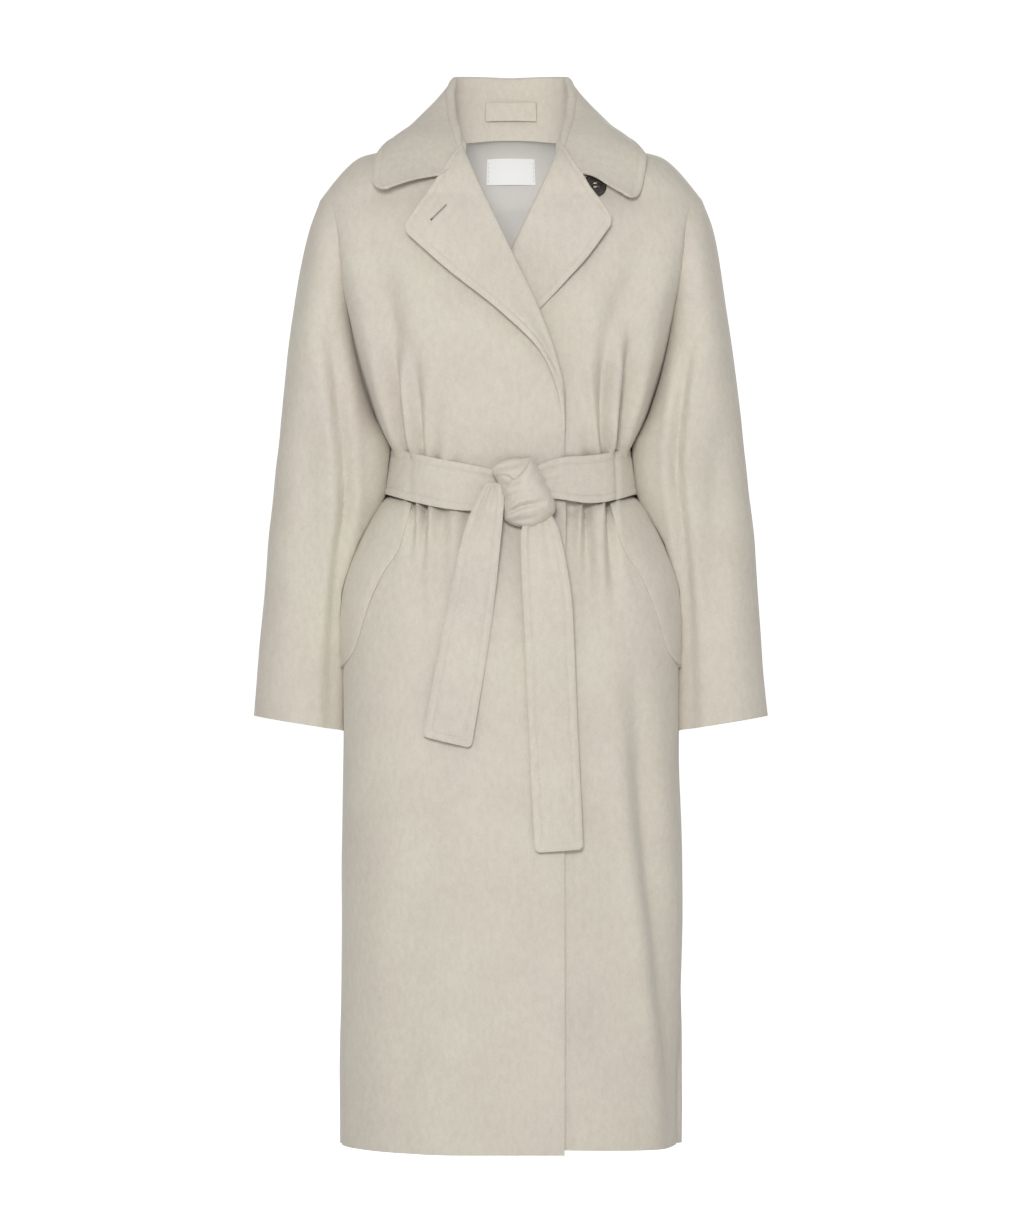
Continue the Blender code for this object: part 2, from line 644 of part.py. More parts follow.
def main_panels():
    """Both fronts and both backs, with one set of directions where their seams meet."""
    points, presses, quads, owners = [], [], [], []
    start = 0
    for name, (side, face) in PANELS.items():
        for grid, press in panel_grids(side, face):
            points.append(grid.reshape(-1, 3))
            presses.append(press.reshape(-1))
            quads.append(quads_of(grid.shape, start, flip=(side == RIGHT) == (face == "front")))
            owners += [name] * len(quads[-1])
            start += len(points[-1])
    points, presses, quads = np.concatenate(points), np.concatenate(presses), np.concatenate(quads)
    first, number = weld(points)
    press = np.zeros(len(first))
    np.maximum.at(press, number, presses)
    points, quads = points[first], number[quads]
    triangles = split_quads(points, quads)
    points = points - press[:, None] * point_normals(points, triangles, len(first))
    normals = point_normals(points, triangles, len(first))
    normals[on_shoulder_seam(points)] *= np.array([1, 0, 1])
    normals /= np.linalg.norm(normals, axis=1, keepdims=True)
    for name in PANELS:
        own = split_quads(points, quads[np.array(owners) == name])
        used, local = np.unique(own, return_inverse=True)
        local = local.reshape(own.shape)
        outer = draw_back(points[used], normals[used], local, SEAM_GAP / 2)
        wall(name, outer, outer - CLOTH * normals[used], local, WOOL)


def front_y(across, height, side):
    """Depth of a front's outer face at a place seen from the front, as if on the wearer's left."""
    across, height = np.broadcast_arrays(np.asarray(across, float), np.asarray(height, float))
    level = height
    for _ in range(8):
        level = height + sag(across, level, "front")
    low = np.minimum(level, SHOULDER_LEVEL)
    depth = body_depth(across, low, "front")
    if side == LEFT:
        depth = depth + underlap(across, low)
    share = np.clip(front_shoulder_share(across), 0, 1)
    inner = -EDGE.at("past", SHOULDER_LEVEL)
    outer = SLEEVE.at("outer", SHOULDER_LEVEL)
    for _ in range(10):
        top = shoulder_top(share)
        turn = np.arccos(np.clip(1 - (top[..., 2] - height) / (top[..., 2] - SHOULDER_LEVEL), 0, 1))
        blend = (turn / QUARTER) ** SHOULDER_SPREAD
        run = (SHOULDER_HALF - NECK_HALF) * (1 - blend) + (outer - inner) * blend
        share = np.clip((across - NECK_HALF * (1 - blend) - inner * blend) / run, 0, 1)
    low_y = body_depth(inner + (outer - inner) * share, np.float64(SHOULDER_LEVEL), "front")
    over = top[..., 1] + (low_y - top[..., 1]) * np.sin(turn)
    return np.where(height > SHOULDER_LEVEL, over, depth)


def on_front(across, height, side):
    """A front's outer points and outward directions at places seen from the front."""
    step = 1.0
    depth = front_y(across, height, side)
    slope_x = (front_y(across + step, height, side) - front_y(across - step, height, side)) / (2 * step)
    slope_z = (front_y(across, height + step, side) - front_y(across, height - step, side)) / (2 * step)
    normal = stack(slope_x, -np.ones_like(slope_x), slope_z)
    normal /= np.linalg.norm(normal, axis=-1, keepdims=True)
    return stack(across, depth, height), normal


def rounded(share, span, round_share, round_span):
    """Spans drawn in near the first rows, so that the sheet's outer corner is round."""
    part = np.clip(1 - share / round_share, 0, 1)
    return span * (1 - round_span * (1 - np.sqrt(1 - part**2)))


def lapel(name, side):
    """A turned-back front: round the fold line of the front's edge, then out to the lapel's own edge."""
    share = np.array(LAPEL_SHARES, float)[:, None]
    height = LAPEL_TOP + (LAPEL_BREAK[side] - LAPEL_TOP) * share
    past = EDGE.at("past", height)
    slope = (EDGE.at("past", height + 2) - EDGE.at("past", height - 2)) / 4
    square = np.stack([np.ones_like(slope), slope], -1) / np.sqrt(1 + slope**2)[..., None]
    radius = FOLDED_CLOTH + CLOTH / 2 + LAY_GAP
    fold_x, fold_z = -past + square[..., 0] * radius, height + square[..., 1] * radius
    centre, lift = on_front(fold_x, fold_z, side)
    centre = centre - lift * CLOTH / 2
    aside = np.concatenate([square[..., :1], 0 * square[..., :1], square[..., 1:]], -1)
    turn = np.pi * np.array(ROLL_TURNS)[None, :, None]
    roll = centre + radius * (lift * np.cos(turn) - aside * np.sin(turn))
    outline = LAPEL_OUTLINE[side]
    edge_x, edge_z = -outline.at("across", share), outline.at("level", share)
    span = rounded(share, np.array(LAPEL_SPANS)[None, :], LAPEL_TIP_SHARE, LAPEL_TIP_ROUND)
    leaf_x, leaf_z = fold_x + (edge_x - fold_x) * span, fold_z + (edge_z - fold_z) * span
    base, out = on_front(leaf_x, leaf_z, side)
    settled = smooth_step(*LAPEL_LIFT_END[side], share)
    stand = LAPEL_GAP + FOLDED_CLOTH + LAPEL_LIFT * smooth_step(0, 1, span) * (1 - settled)
    grid = np.concatenate([roll, base + out * stand[..., None]], axis=1)
    return sheet(name, place(grid, side), FOLDED_CLOTH, WOOL, FORWARD)


def neck_line(station):
    """The seam of the neck: back neck curve, then down the fronts' inner edge."""
    share = np.sin(np.clip(station / COLLAR_SHOULDER, 0, 1) * QUARTER)
    back = back_top(BACK_NECK_COLUMN * share)
    step = np.clip((station - COLLAR_SHOULDER) / (1 - COLLAR_SHOULDER), 0, 1) * COLLAR_FRONT_STEP
    inner = -EDGE.at("past", SHOULDER_LEVEL)
    low = stack(inner, body_depth(inner, np.float64(SHOULDER_LEVEL), "front"), SHOULDER_LEVEL)
    front = over_shoulder(shoulder_top(0 * step), low, step)
    return np.where((station <= COLLAR_SHOULDER)[..., None], back, front)


def collar_lines(station):
    """The collar's fold line and outer edge, and the level direction from one to the other."""
    roll = stack(*(COLLAR.at(name, station) for name in ("roll_x", "roll_y", "roll_z")))
    edge = stack(*(COLLAR.at(name, station) for name in ("edge_x", "edge_y", "edge_z")))
    away = (edge - roll) * np.array([1, 1, 0])
    return roll, edge, away / np.linalg.norm(away, axis=1, keepdims=True)


def collar_stand(station):
    """Foot and head of the stand's inner face, and the level direction out of the neck."""
    roll, _, away = collar_lines(station)
    foot = neck_line(station) - away * FOLDED_CLOTH / 2
    to_front = smooth_step(COLLAR_SHOULDER, COLLAR_TIP_START, station)
    foot[:, 2] += LAY_GAP + SEAM_GAP + COLLAR_FRONT_RISE * to_front
    head = roll - np.array([0, 0, COLLAR_ROLL]) - away * COLLAR_ROLL
    return foot, head, away


def collar_half(side):
    """Half of the collar from the middle back: up the stand, over the fold, down the fall."""
    station = np.array(COLLAR_STATIONS, float)
    roll, edge, away = collar_lines(station)
    edge += np.array(COLLAR_TIP_SHIFT[side]) * smooth_step(COLLAR_TIP_START, 1, station)[:, None]
    up = np.array([0, 0, 1.0])
    centre = roll - up * COLLAR_ROLL
    foot, head, _ = collar_stand(station)
    stand = foot[:, None] + (head - foot)[:, None] * np.array(COLLAR_STAND_STEPS)[None, :, None]
    turn = np.pi * np.array(COLLAR_ROLL_STEPS)[None, :, None]
    over = centre[:, None] + COLLAR_ROLL * (away[:, None] * np.cos(turn) + up * np.sin(turn))
    begin = centre + away * COLLAR_ROLL
    fall_span = np.array(COLLAR_FALL_STEPS)[None, :]
    fall_span = rounded(1 - station[:, None], fall_span, COLLAR_TIP_SHARE, COLLAR_TIP_ROUND)[..., None]
    along = np.gradient(edge, axis=0)
    square = np.cross(along, edge - begin)
    square /= np.linalg.norm(square, axis=1, keepdims=True)
    square *= np.sign(square @ (up + np.array([0, -0.5, 0])))[:, None]
    bulge = COLLAR_BULGE * np.sin(np.pi * fall_span)
    fall = begin[:, None] + (edge - begin)[:, None] * fall_span + square[:, None] * bulge
    return place(np.concatenate([stand, over, fall], axis=1), side)


def collar():
    """Stand and fall in one sheet from the right front end round the back to the left one."""
    right = collar_half(RIGHT)
    grid = np.concatenate([right[::-1], collar_half(LEFT)[1:]])
    return sheet("collar", grid, FOLDED_CLOTH, WOOL, UPWARD)


def belt_ring(share, band):
    """A point of the belt's outer face: share of a full turn from the front, and band from edge to edge."""
    turn = 2 * np.pi * share
    grow = BELT_FLARE * band
    across = (BELT_HALF + grow) * np.sin(turn)
    foot = BODY.at("fold_front", BELT_LEVEL)
    front = arch(across, BELT_HALF + grow, -(BELT_FRONT + grow), foot)
    back = arch(across, BELT_HALF + grow, BELT_BACK + grow, foot)
    facing_front = np.cos(turn) >= 0
    middle = BELT_LEVEL - np.where(facing_front, BELT_SAG * (1 - (across / BELT_HALF) ** 2).clip(0), 0)
    return stack(across, np.where(facing_front, front, back), middle - band * BELT_WIDTH / 2)


def belt_band():
    """The band round the waist, open behind the knot."""
    middle = np.arcsin(KNOT_PLACE[0] / BELT_HALF) / (2 * np.pi)
    open_half = BELT_KNOT_GAP / (2 * np.pi * BELT_HALF) / 2
    share = np.linspace(middle + open_half, 1 + middle - open_half, BELT_STEPS + 1)[:, None]
    grid = belt_ring(share, np.array(BELT_BANDS, float)[None, :])
    return sheet("belt_band", grid, BELT_CLOTH, WOOL, BACKWARD)


def knot_size(ray):
    """Length of rays from the knot's middle to its outermost turn of cloth, each turn a tilted ellipsoid."""
    size = np.zeros(ray.shape[:-1])
    for row in KNOT_TURNS:
        turn = dict(zip(KNOT_COLUMNS, row))
        cos, sin = np.cos(turn["tilt"]), np.sin(turn["tilt"])
        axes = np.array([[cos, 0, sin], [0, -1, 0], [-sin, 0, cos]])
        halves = np.array([turn["half_long"], turn["half_deep"], turn["half_wide"]])
        way = ray @ axes.T / halves
        start = -(axes @ np.array([turn["across"], -turn["depth"], turn["rise"]])) / halves
        square, both = (way**2).sum(axis=-1), way @ start
        inside = both**2 - square * (start @ start - 1)
        size = np.maximum(size, np.where(inside > 0, (np.sqrt(np.abs(inside)) - both) / square, 0))
    return size


def belt_knot():
    """The half knot: turns of cloth round one another, flat where it lies on the band."""
    polar = np.linspace(0, np.pi, KNOT_RINGS + 1)[:, None]
    turn = np.linspace(0, 2 * np.pi, KNOT_SIDES + 1)[None, :]
    ray = stack(np.sin(polar) * np.cos(turn), np.sin(polar) * np.sin(turn), np.cos(polar))
    size = knot_size(ray)
    behind = ray[..., 1] > 1e-6
    size[behind] = np.minimum(size[behind], KNOT_BACK / ray[..., 1][behind])
    seat = -BELT_FRONT - BELT_FLARE - SEAM_GAP - KNOT_BACK
    points = ray * size[..., None] + np.array([KNOT_PLACE[0], seat, KNOT_PLACE[1]])
    points[-1], points[0], points[:, -1] = points[-1, 0], points[0, 0], points[:, 0]
    return closed_body("belt_knot", points, WOOL)


def closed_body(name, grid, finish):
    """A closed body from a grid that already closes on itself."""
    points = grid.reshape(-1, 3)
    first, number = weld(points)
    faces = split_quads(points[first], number[quads_of(grid.shape, 0, False)])
    return solid(name, points[first], faces, finish)


def belt_end(name):
    """A hanging belt end that lies on the fronts, standing off a little where it leaves the knot."""
    table = BELT_ENDS[name]
    top, bottom = table.rows[-1, 0], table.rows[0, 0]
    share = np.linspace(0, 1, BELT_END_ROWS + 1)[:, None]
    span = np.array(BELT_END_SPANS, float)[None, :]
    level = top + (bottom - top) * share
    across = table.at("middle", level) + table.at("half", level) * span
    height = level + BELT_END_SLANT[name] * span / 2 * share
    base, out = on_front(-across, height, RIGHT)
    lifted = BELT_END_STAND[name] * (1 - smooth_step(*BELT_END_SETTLES, share))
    stand = LAY_GAP + BELT_CLOTH + BELT_END_CROWN * (1 - span**2) + lifted
    grid = place(base + out * stand[..., None], RIGHT)
    return sheet(name, grid, BELT_CLOTH, WOOL, FORWARD)


def pocket_welt(name, side):
    """A slanted leaf on a front, from its seam to its free edge at the side."""
    between = SKIRT_LEVELS[(SKIRT_LEVELS <= WELT_TOP) & (SKIRT_LEVELS > WELT_BOTTOM)]
    level = np.append(between, WELT_BOTTOM)
    seam = np.arcsin(WELT_SEAM.at("across", level) / BODY.at("reach", level))[:, None]
    share = ((level - WELT_TOP) / (WELT_BOTTOM - WELT_TOP))[:, None]
    span = np.array(WELT_SPANS)[None, :]
    angle = seam + (WELT_TURN - seam) * span
    step = 0.004
    base = body_points(angle, level, side, "front")
    along = body_points(angle + step, level, side, "front") - body_points(angle - step, level, side, "front")
    down = body_points(angle, level - step, side, "front") - body_points(angle, level + step, side, "front")
    out = np.cross(down, along)
    out /= np.linalg.norm(out, axis=-1, keepdims=True)
    stand = LAY_GAP + CLOTH + WELT_BULGE * np.sin(np.pi * share) * smooth_step(0, 1, span)
    grid = place(base + out * stand[..., None], side)
    return sheet(name, grid, CLOTH, WOOL, FORWARD)


def back_inside(angles, levels, side, inset):
    """The back's inner face, set in from its outer face, with the shoulder rows."""
    grid = with_shoulder(body_points(angles[None, :], levels, side, "back"), "back")
    depth = inset + fold_map(grid, levels, side, "back")
    return place(grid - depth[..., None] * grid_normals(grid), side)


def grid_normals(grid):
    """Outward directions of a back grid drawn for the wearer's left."""
    normal = np.cross(np.gradient(grid, axis=1), np.gradient(grid, axis=0))
    return normal / np.linalg.norm(normal, axis=-1, keepdims=True)


def back_lining():
    """The half lining inside the upper back."""
    levels = UPPER_LEVELS[UPPER_LEVELS >= LINING_BOTTOM]
    angles = back_angles()
    angles = angles[BODY.at("reach", SHOULDER_LEVEL) * np.sin(angles) <= LINING_HALF]
    inset = CLOTH + LAY_GAP
    half = {side: back_inside(angles, levels, side, inset)[1:] for side in (RIGHT, LEFT)}
    grid = np.concatenate([half[RIGHT][:, ::-1], half[LEFT][:, 1:]], axis=1)
    return sheet("back_lining", grid, LINING_CLOTH, SATIN, BACKWARD)


def label():
    """The blank label on the lining, bent as the lining is."""
    share = np.linspace(0, 1, LABEL_COLUMNS + 1)
    angles = np.arcsin(share * LABEL_HALF / BODY.at("reach", SHOULDER_LEVEL))
    inset = CLOTH + 2 * LAY_GAP + LINING_CLOTH
    halves = {side: back_inside(angles, UPPER_LEVELS, side, inset) for side in (RIGHT, LEFT)}
    grid = np.concatenate([halves[RIGHT][:, ::-1], halves[LEFT][:, 1:]], axis=1)
    heights = grid[:, LABEL_COLUMNS, 2]
    wanted = np.linspace(LABEL_TOP, LABEL_BOTTOM, LABEL_ROWS + 1)
    lines = grid.reshape(len(grid), -1).T
    patch = np.array([np.interp(-wanted, -heights, line) for line in lines]).T
    patch = patch.reshape(LABEL_ROWS + 1, -1, 3)
    return sheet("label", patch - np.array(BACKWARD) * LABEL_CLOTH, LABEL_CLOTH, LABEL_WEAVE, FORWARD)


def hanger_loop():
    """The stitched cloth bar on the inside of the collar's stand, made from the stand's points."""
    station = np.linspace(0, 1, LOOP_COLUMNS + 1) * LOOP_STATION
    rise = np.array(LOOP_RISE)[None, :, None]
    halves = {}
    for side in (RIGHT, LEFT):
        foot, head, away = collar_stand(station)
        face = foot[:, None] + (head - foot)[:, None] * rise
        halves[side] = place(face - away[:, None] * (2 * LAY_GAP + LOOP_CLOTH), side)
    grid = np.concatenate([halves[RIGHT][::-1], halves[LEFT][1:]])
    return sheet("hanger_loop", grid, LOOP_CLOTH, WOOL, FORWARD)


def button():
    """The sew-through button on the left front, a disc with a raised rim."""
    base, out = on_front(np.float64(BUTTON_PLACE[0]), np.float64(BUTTON_PLACE[1]), LEFT)
    side_way = np.cross(out, np.array([0, 0, 1.0]))
    side_way /= np.linalg.norm(side_way)
    up_way = np.cross(side_way, out)
    turn = np.linspace(0, 2 * np.pi, BUTTON_SIDES + 1)[None, :, None]
    radius = np.array(BUTTON_PROFILE)[:, :1, None] * BUTTON_RADIUS
    height = np.array(BUTTON_PROFILE)[:, 1:, None] * BUTTON_THICK + BUTTON_SEAT
    points = base + out * height + radius * (side_way * np.cos(turn) + up_way * np.sin(turn))
    points[:, -1] = points[:, 0]
    return closed_body("button", points, HORN)


def clear_scene():
    for item in list(bpy.data.objects):
        bpy.data.objects.remove(item, do_unlink=True)


def main():
    clear_scene()
    main_panels()
    lapel("lapel_right", RIGHT)
    lapel("lapel_left", LEFT)
    collar()
    belt_band()
    belt_knot()
    for name in BELT_ENDS:
        belt_end(name)
    pocket_welt("pocket_welt_right", RIGHT)
    pocket_welt("pocket_welt_left", LEFT)
    back_lining()
    label()
    hanger_loop()
    button()


main()
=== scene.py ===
"""A belted double-breasted coat of thick felted wool: its shown cloth, sewing, finishes and stage.

The cloth is worked out in millimetres and becomes metres when a mesh is made. X runs across the coat, -Y is
the front, Z is up, and the origin is at the back neck. A level is a height before the cloth sags round the
tied belt. A shape drawn for the wearer's left is mirrored to the right by the sign of its X.
"""

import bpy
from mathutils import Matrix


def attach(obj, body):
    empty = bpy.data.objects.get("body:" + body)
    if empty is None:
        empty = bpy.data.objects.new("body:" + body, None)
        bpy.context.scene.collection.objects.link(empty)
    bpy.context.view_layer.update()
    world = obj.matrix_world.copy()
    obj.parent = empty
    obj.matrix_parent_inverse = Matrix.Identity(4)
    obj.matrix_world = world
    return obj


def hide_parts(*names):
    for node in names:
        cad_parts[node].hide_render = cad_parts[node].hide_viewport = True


bl_info = {
    "name": "Belted Wool Coat",
    "version": (1, 0, 0),
    "blender": (4, 5, 0),
    "location": "View3D > Sidebar > Coat",
    "description": "Cloth, sewing, finishes and stage of a belted double-breasted coat",
    "category": "Object",
}

import bpy
import numpy as np
from bpy.props import FloatProperty, FloatVectorProperty, PointerProperty
from bpy.types import Operator, Panel, PropertyGroup
from mathutils import Vector

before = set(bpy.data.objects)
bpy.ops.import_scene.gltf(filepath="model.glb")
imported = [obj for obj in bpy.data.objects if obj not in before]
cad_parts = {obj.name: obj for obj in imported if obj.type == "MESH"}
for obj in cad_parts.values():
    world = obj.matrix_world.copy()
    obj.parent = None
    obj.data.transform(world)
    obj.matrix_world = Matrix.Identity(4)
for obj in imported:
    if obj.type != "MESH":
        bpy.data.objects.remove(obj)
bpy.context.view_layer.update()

MM = 0.001
QUARTER = np.pi / 2
RIGHT, LEFT = -1, 1
FORWARD, BACKWARD, UPWARD = (0, -1, 0), (0, 1, 0), (0, 0, 1)

# Shoulders, neck, belt and hems
SHOULDER_LEVEL = -75.0
UNDERARM_LEVEL = -328.0
NECK_HALF = 68.0
NECK_SEAM_Y = 15.0
NECK_SEAM_Z = -2.0
NECK_BACK_Y = 70.0
NECK_BACK_RISE = 8.0
SHOULDER_HALF = 169.0
SHOULDER_SEAM_Y = 8.0
SHOULDER_DROP = 19.0
SHOULDER_SLOPE = 1.25
SHOULDER_SPREAD = 1.15
SHOULDER_BLEND = 9.0
NECK_HOLLOW = 7.5
NECK_HOLLOW_SHARE = 0.35
BACK_NECK_COLUMN = 75.0
SECTION_POWER = 2.3
BELT_LEVEL = -394.0
BELT_SAG = 25.0
BELT_SAG_REACH = 90.0
HEM_LEVEL = -1187.0
UNDER_HEM_LIFT = 8.0
UNDER_HEM_START = -800.0
CUFF_LEVEL = -701.0
CUFF_RISE = 18.0
SEAM_GAP = 0.4
CORNER_ARC = 0.75
EDGE_SHARE = 0.45
PANEL_EDGE_SHARE = 0.35
LAY_GAP = 0.5
RIM_SEGMENTS = 3
RIM_ANGLE = 0.9
WELD_REACH = 0.004
WELD_SHIFT = 0.137
SAG_ROUNDS = 8
SHARE_ROUNDS = 10
SLOPE_STEP = 9.0
END_CROWDING = 1.6


class Table:
    """Sizes by place, one row for each section, read between the rows along a monotone cubic curve."""

    def __init__(self, columns, rows):
        self.columns = columns.split()
        self.rows = np.array(sorted(rows), dtype=float)

    def at(self, name, place):
        places, values = self.rows[:, 0], self.rows[:, self.columns.index(name)]
        steps = np.diff(places)
        rises = np.diff(values) / steps
        slopes = np.concatenate([rises[:1], np.zeros(len(values) - 2), rises[-1:]])
        before, after = rises[:-1], rises[1:]
        same_way = before * after > 0
        slopes[1:-1][same_way] = 2 * before[same_way] * after[same_way] / (before + after)[same_way]
        place = np.clip(place, places[0], places[-1])
        row = np.clip(np.searchsorted(places, place) - 1, 0, len(steps) - 1)
        step = steps[row]
        part = (place - places[row]) / step
        left = (1 + 2 * part) * (1 - part) ** 2 * values[row] + part * (1 - part) ** 2 * step * slopes[row]
        right = part**2 * (3 - 2 * part) * values[row + 1] - part**2 * (1 - part) * step * slopes[row + 1]
        return left + right


# The body's half width, depths, the fold beside the sleeve, and how far sleeve and body have parted
BODY = Table(
    "level reach front back fold_front fold_back parting",
    [
        (-75, 212, 92, 100, -30, 46, 0.0),
        (-110, 204, 105, 107, -28, 42, 0.2),
        (-163, 196, 116, 113, -22, 34, 0.5),
        (-210, 190, 121, 113, -14, 26, 0.72),
        (-260, 182, 123, 109, -5, 16, 0.9),
        (-328, 162, 118, 101, 5, 5, 1.0),
        (-348, 152.5, 112.5, 95.5, 5, 5, 1.0),
        (-358, 146, 109.5, 91, 5, 5, 1.0),
        (-366, 140, 105.5, 86.5, 5, 5, 1.0),
        (-374, 136.5, 103, 84.3, 5, 5, 1.0),
        (-394, 135, 103.5, 84, 5, 5, 1.0),
        (-422, 139, 106.5, 87, 5, 5, 1.0),
        (-434, 152, 111, 93, 4, 4, 1.0),
        (-452, 163, 116, 99, 2, 2, 1.0),
        (-481, 177, 121, 107, -2, -2, 1.0),
        (-511, 188, 126, 114, -6, -6, 1.0),
        (-540, 195, 130, 120, -8, -8, 1.0),
        (-580, 198, 134, 126, -10, -10, 1.0),
        (-630, 197, 137, 130, -10, -10, 1.0),
        (-706, 197, 140, 133, -8, -8, 1.0),
        (-800, 198.5, 143, 136, -6, -6, 1.0),
        (-1000, 199.5, 146, 140, -3, -3, 1.0),
        (-1187, 200, 148, 143, 0, 0, 1.0),
    ],
)

# The sleeve's inner and outer reach, its depths, and the half width of body, belt or pocket that it passes
SLEEVE = Table(
    "level inner outer front back inner_y outer_y passed",
    [
        (-75, 212, 226, -30, 46, 0, 8, 0),
        (-110, 204, 239, -40, 56, 0, 8, 0),
        (-163, 196, 250, -50, 66, 0, 8, 0),
        (-210, 190, 257, -56, 72, 0, 9, 0),
        (-260, 182, 263.5, -58, 76, 0, 10, 0),
        (-328, 162, 271, -60, 78, 5, 12, 162),
        (-345, 150, 272.5, -59, 79, 25, 13, 153),
        (-361, 139, 274, -58, 80, 40, 14, 143),
        (-394, 135, 278, -56, 81, 52, 15, 147),
        (-425, 139, 281, -54, 82, 50, 16, 151),
        (-452, 150, 284, -52, 82, 46, 16, 167),
        (-481, 160, 287, -50, 81, 46, 16, 183),
        (-511, 170, 289, -49, 80, 46, 16, 193.5),
        (-545, 180, 291.5, -48, 79, 46, 16, 200.5),
        (-600, 186, 296, -47, 77, 45, 15, 201.5),
        (-640, 187.5, 299, -46.5, 75.5, 43, 14, 198.4),
        (-701, 189, 304, -46, 73, 40, 13, 197.6),
    ],
)

# How far past the middle each front reaches: the lapel's fold line, then the front edge
EDGE = Table(
    "level past",
    [
        (-12, -59.0), (-36, -48.6), (-77, -29), (-141, 1), (-209, 33), (-264, 53), (-313, 63), (-361, 63.5),
        (-420, 63), (-1187, 62),
    ],
)

# How deep the left front lies below the right one where they overlap
UNDERLAP = Table(
    "level depth",
    [
        (-75, 0), (-120, 9), (-165, 15), (-290, 15), (-340, 9), (-380, 5), (-440, 6.5), (-600, 5.2),
        (-1187, 4.6),
    ],
)
UNDERLAP_FADE = 75.0

# The creases: a row for each place along a crease, with how deep and how wide it is there
CREASE_COLUMNS = "level across depth width"
BODY_CREASES = {
    (RIGHT, "front"): [
        [(-110, 192, 0, 22), (-180, 176, -4, 18), (-260, 161, -7, 14), (-328, 145, -7, 11),
         (-374, 128, -6, 8)],
        [(-110, 176, 0, 22), (-163, 157, 4, 20), (-233, 142, 8, 13), (-290, 138, 12, 7), (-330, 130, 13, 5),
         (-352, 124, 12, 4), (-366, 120, 8, 3.5)],
        [(-215, 128, 0, 16), (-270, 117, 6, 10), (-320, 110, 10, 6), (-352, 107, 10, 4.5),
         (-366, 105, 6, 4)],
        [(-250, 128, 0, 12), (-310, 119, -4, 8), (-374, 111.5, -4, 5)],
        [(-285, 92, 0, 14), (-335, 90, 3, 9), (-374, 89, 5, 6)],
        [(-320, 62, 0, 12), (-374, 66, 3, 7)],
        [(-426, 112, 11, 4), (-470, 114, 8, 5.5), (-520, 118, 4, 8), (-575, 122, 0, 12)],
        [(-426, 109, -5, 5), (-480, 110, -4, 8), (-540, 112, 0, 12)],
        [(-426, 101, 14, 4), (-465, 103, 10, 5), (-520, 105, 6, 8), (-640, 104, 0, 14)],
        [(-426, 80, 6, 7), (-560, 83, 3, 14), (-720, 88, 2, 22), (-850, 98, 4, 30), (-960, 116, 6, 34),
         (-1190, 138, 7, 38)],
        [(-426, 48, 5, 7), (-520, 52, 2, 12), (-640, 56, 0, 16)],
        [(-760, 30, 0, 40), (-980, 24, 2.5, 44), (-1190, 16, 4, 46)],
        [(-820, 168, 0, 18), (-1000, 176, 3, 20), (-1190, 182, 5, 22)],
    ],
    (LEFT, "front"): [
        [(-110, 192, 0, 22), (-190, 174, -4, 16), (-270, 158, -7, 13), (-328, 146, -7, 10),
         (-374, 129, -6, 8)],
        [(-205, 146, 0, 13), (-235, 140, 4, 11), (-290, 138, 10, 6.5), (-325, 131, 13, 5),
         (-352, 125, 12, 4),
         (-366, 122, 8, 3.5)],
        [(-92, 178, 0, 26), (-140, 156, 4, 26), (-190, 134, 6, 20), (-250, 114, 8, 12), (-300, 107, 10, 7),
         (-352, 109, 10, 4.5), (-366, 110, 6, 4)],
        [(-215, 132, 0, 14), (-270, 124, -5, 10), (-325, 118, -5, 7), (-374, 116, -4, 5)],
        [(-290, 86, 0, 12), (-374, 92, 5, 7)],
        [(-426, 70, 6, 6), (-500, 72, 3, 9), (-600, 72, 0, 12)],
        [(-426, 88, 13, 4), (-470, 88, 9, 5.5), (-530, 90, 5, 9), (-620, 88, 0, 12)],
        [(-426, 105, -4, 6), (-480, 106, -3, 8), (-540, 108, 0, 12)],
        [(-426, 114, 11, 4), (-460, 115, 8, 5), (-510, 118, 5, 7), (-575, 122, 0, 12)],
        [(-600, 140, 0, 12), (-700, 149, 6, 14), (-870, 166, 14, 14), (-960, 177, 13, 14),
         (-1120, 193, 9, 13),
         (-1190, 197, 6, 13)],
        [(-640, 96, 0, 26), (-860, 104, 3, 30), (-1190, 118, 4, 34)],
    ],
    (RIGHT, "back"): [
        [(-150, 36, 0, 16), (-280, 30, 4, 12), (-345, 27, 7, 8), (-368, 26, 4, 6)],
        [(-205, 76, 0, 14), (-290, 64, 5, 11), (-345, 59, 8, 8), (-368, 57, 4, 6)],
        [(-120, 140, 0, 18), (-240, 112, 5, 13), (-345, 95, 8, 9), (-368, 92, 4, 6)],
        [(-430, 27, 10, 8), (-520, 32, 5, 12), (-680, 42, 0, 18)],
        [(-430, 61, 11, 8), (-540, 70, 6, 12), (-760, 86, 1, 24), (-980, 98, 6, 30), (-1190, 106, 9, 32)],
        [(-430, 97, 10, 8), (-500, 108, 5, 11), (-610, 126, 0, 14)],
        [(-780, 150, 0, 22), (-1190, 160, 6, 26)],
    ],
    (LEFT, "back"): [
        [(-190, 30, 0, 14), (-290, 31, 4, 11), (-345, 29, 7, 8), (-368, 28, 4, 6)],
        [(-160, 88, 0, 18), (-270, 72, 5, 12), (-345, 63, 8, 8), (-368, 61, 4, 6)],
        [(-140, 136, 0, 18), (-250, 114, 4, 13), (-345, 98, 8, 9), (-368, 96, 4, 6)],
        [(-430, 30, 11, 8), (-540, 36, 6, 12), (-740, 46, 0, 20)],
        [(-430, 65, 10, 8), (-520, 74, 5, 11), (-640, 88, 0, 16)],
        [(-430, 99, 10, 8), (-520, 112, 5, 11), (-660, 130, 0, 15)],
        [(-690, 58, 0, 22), (-900, 74, 4, 28), (-1190, 92, 9, 32)],
        [(-820, 146, 0, 22), (-1190, 152, 6, 26)],
    ],
}
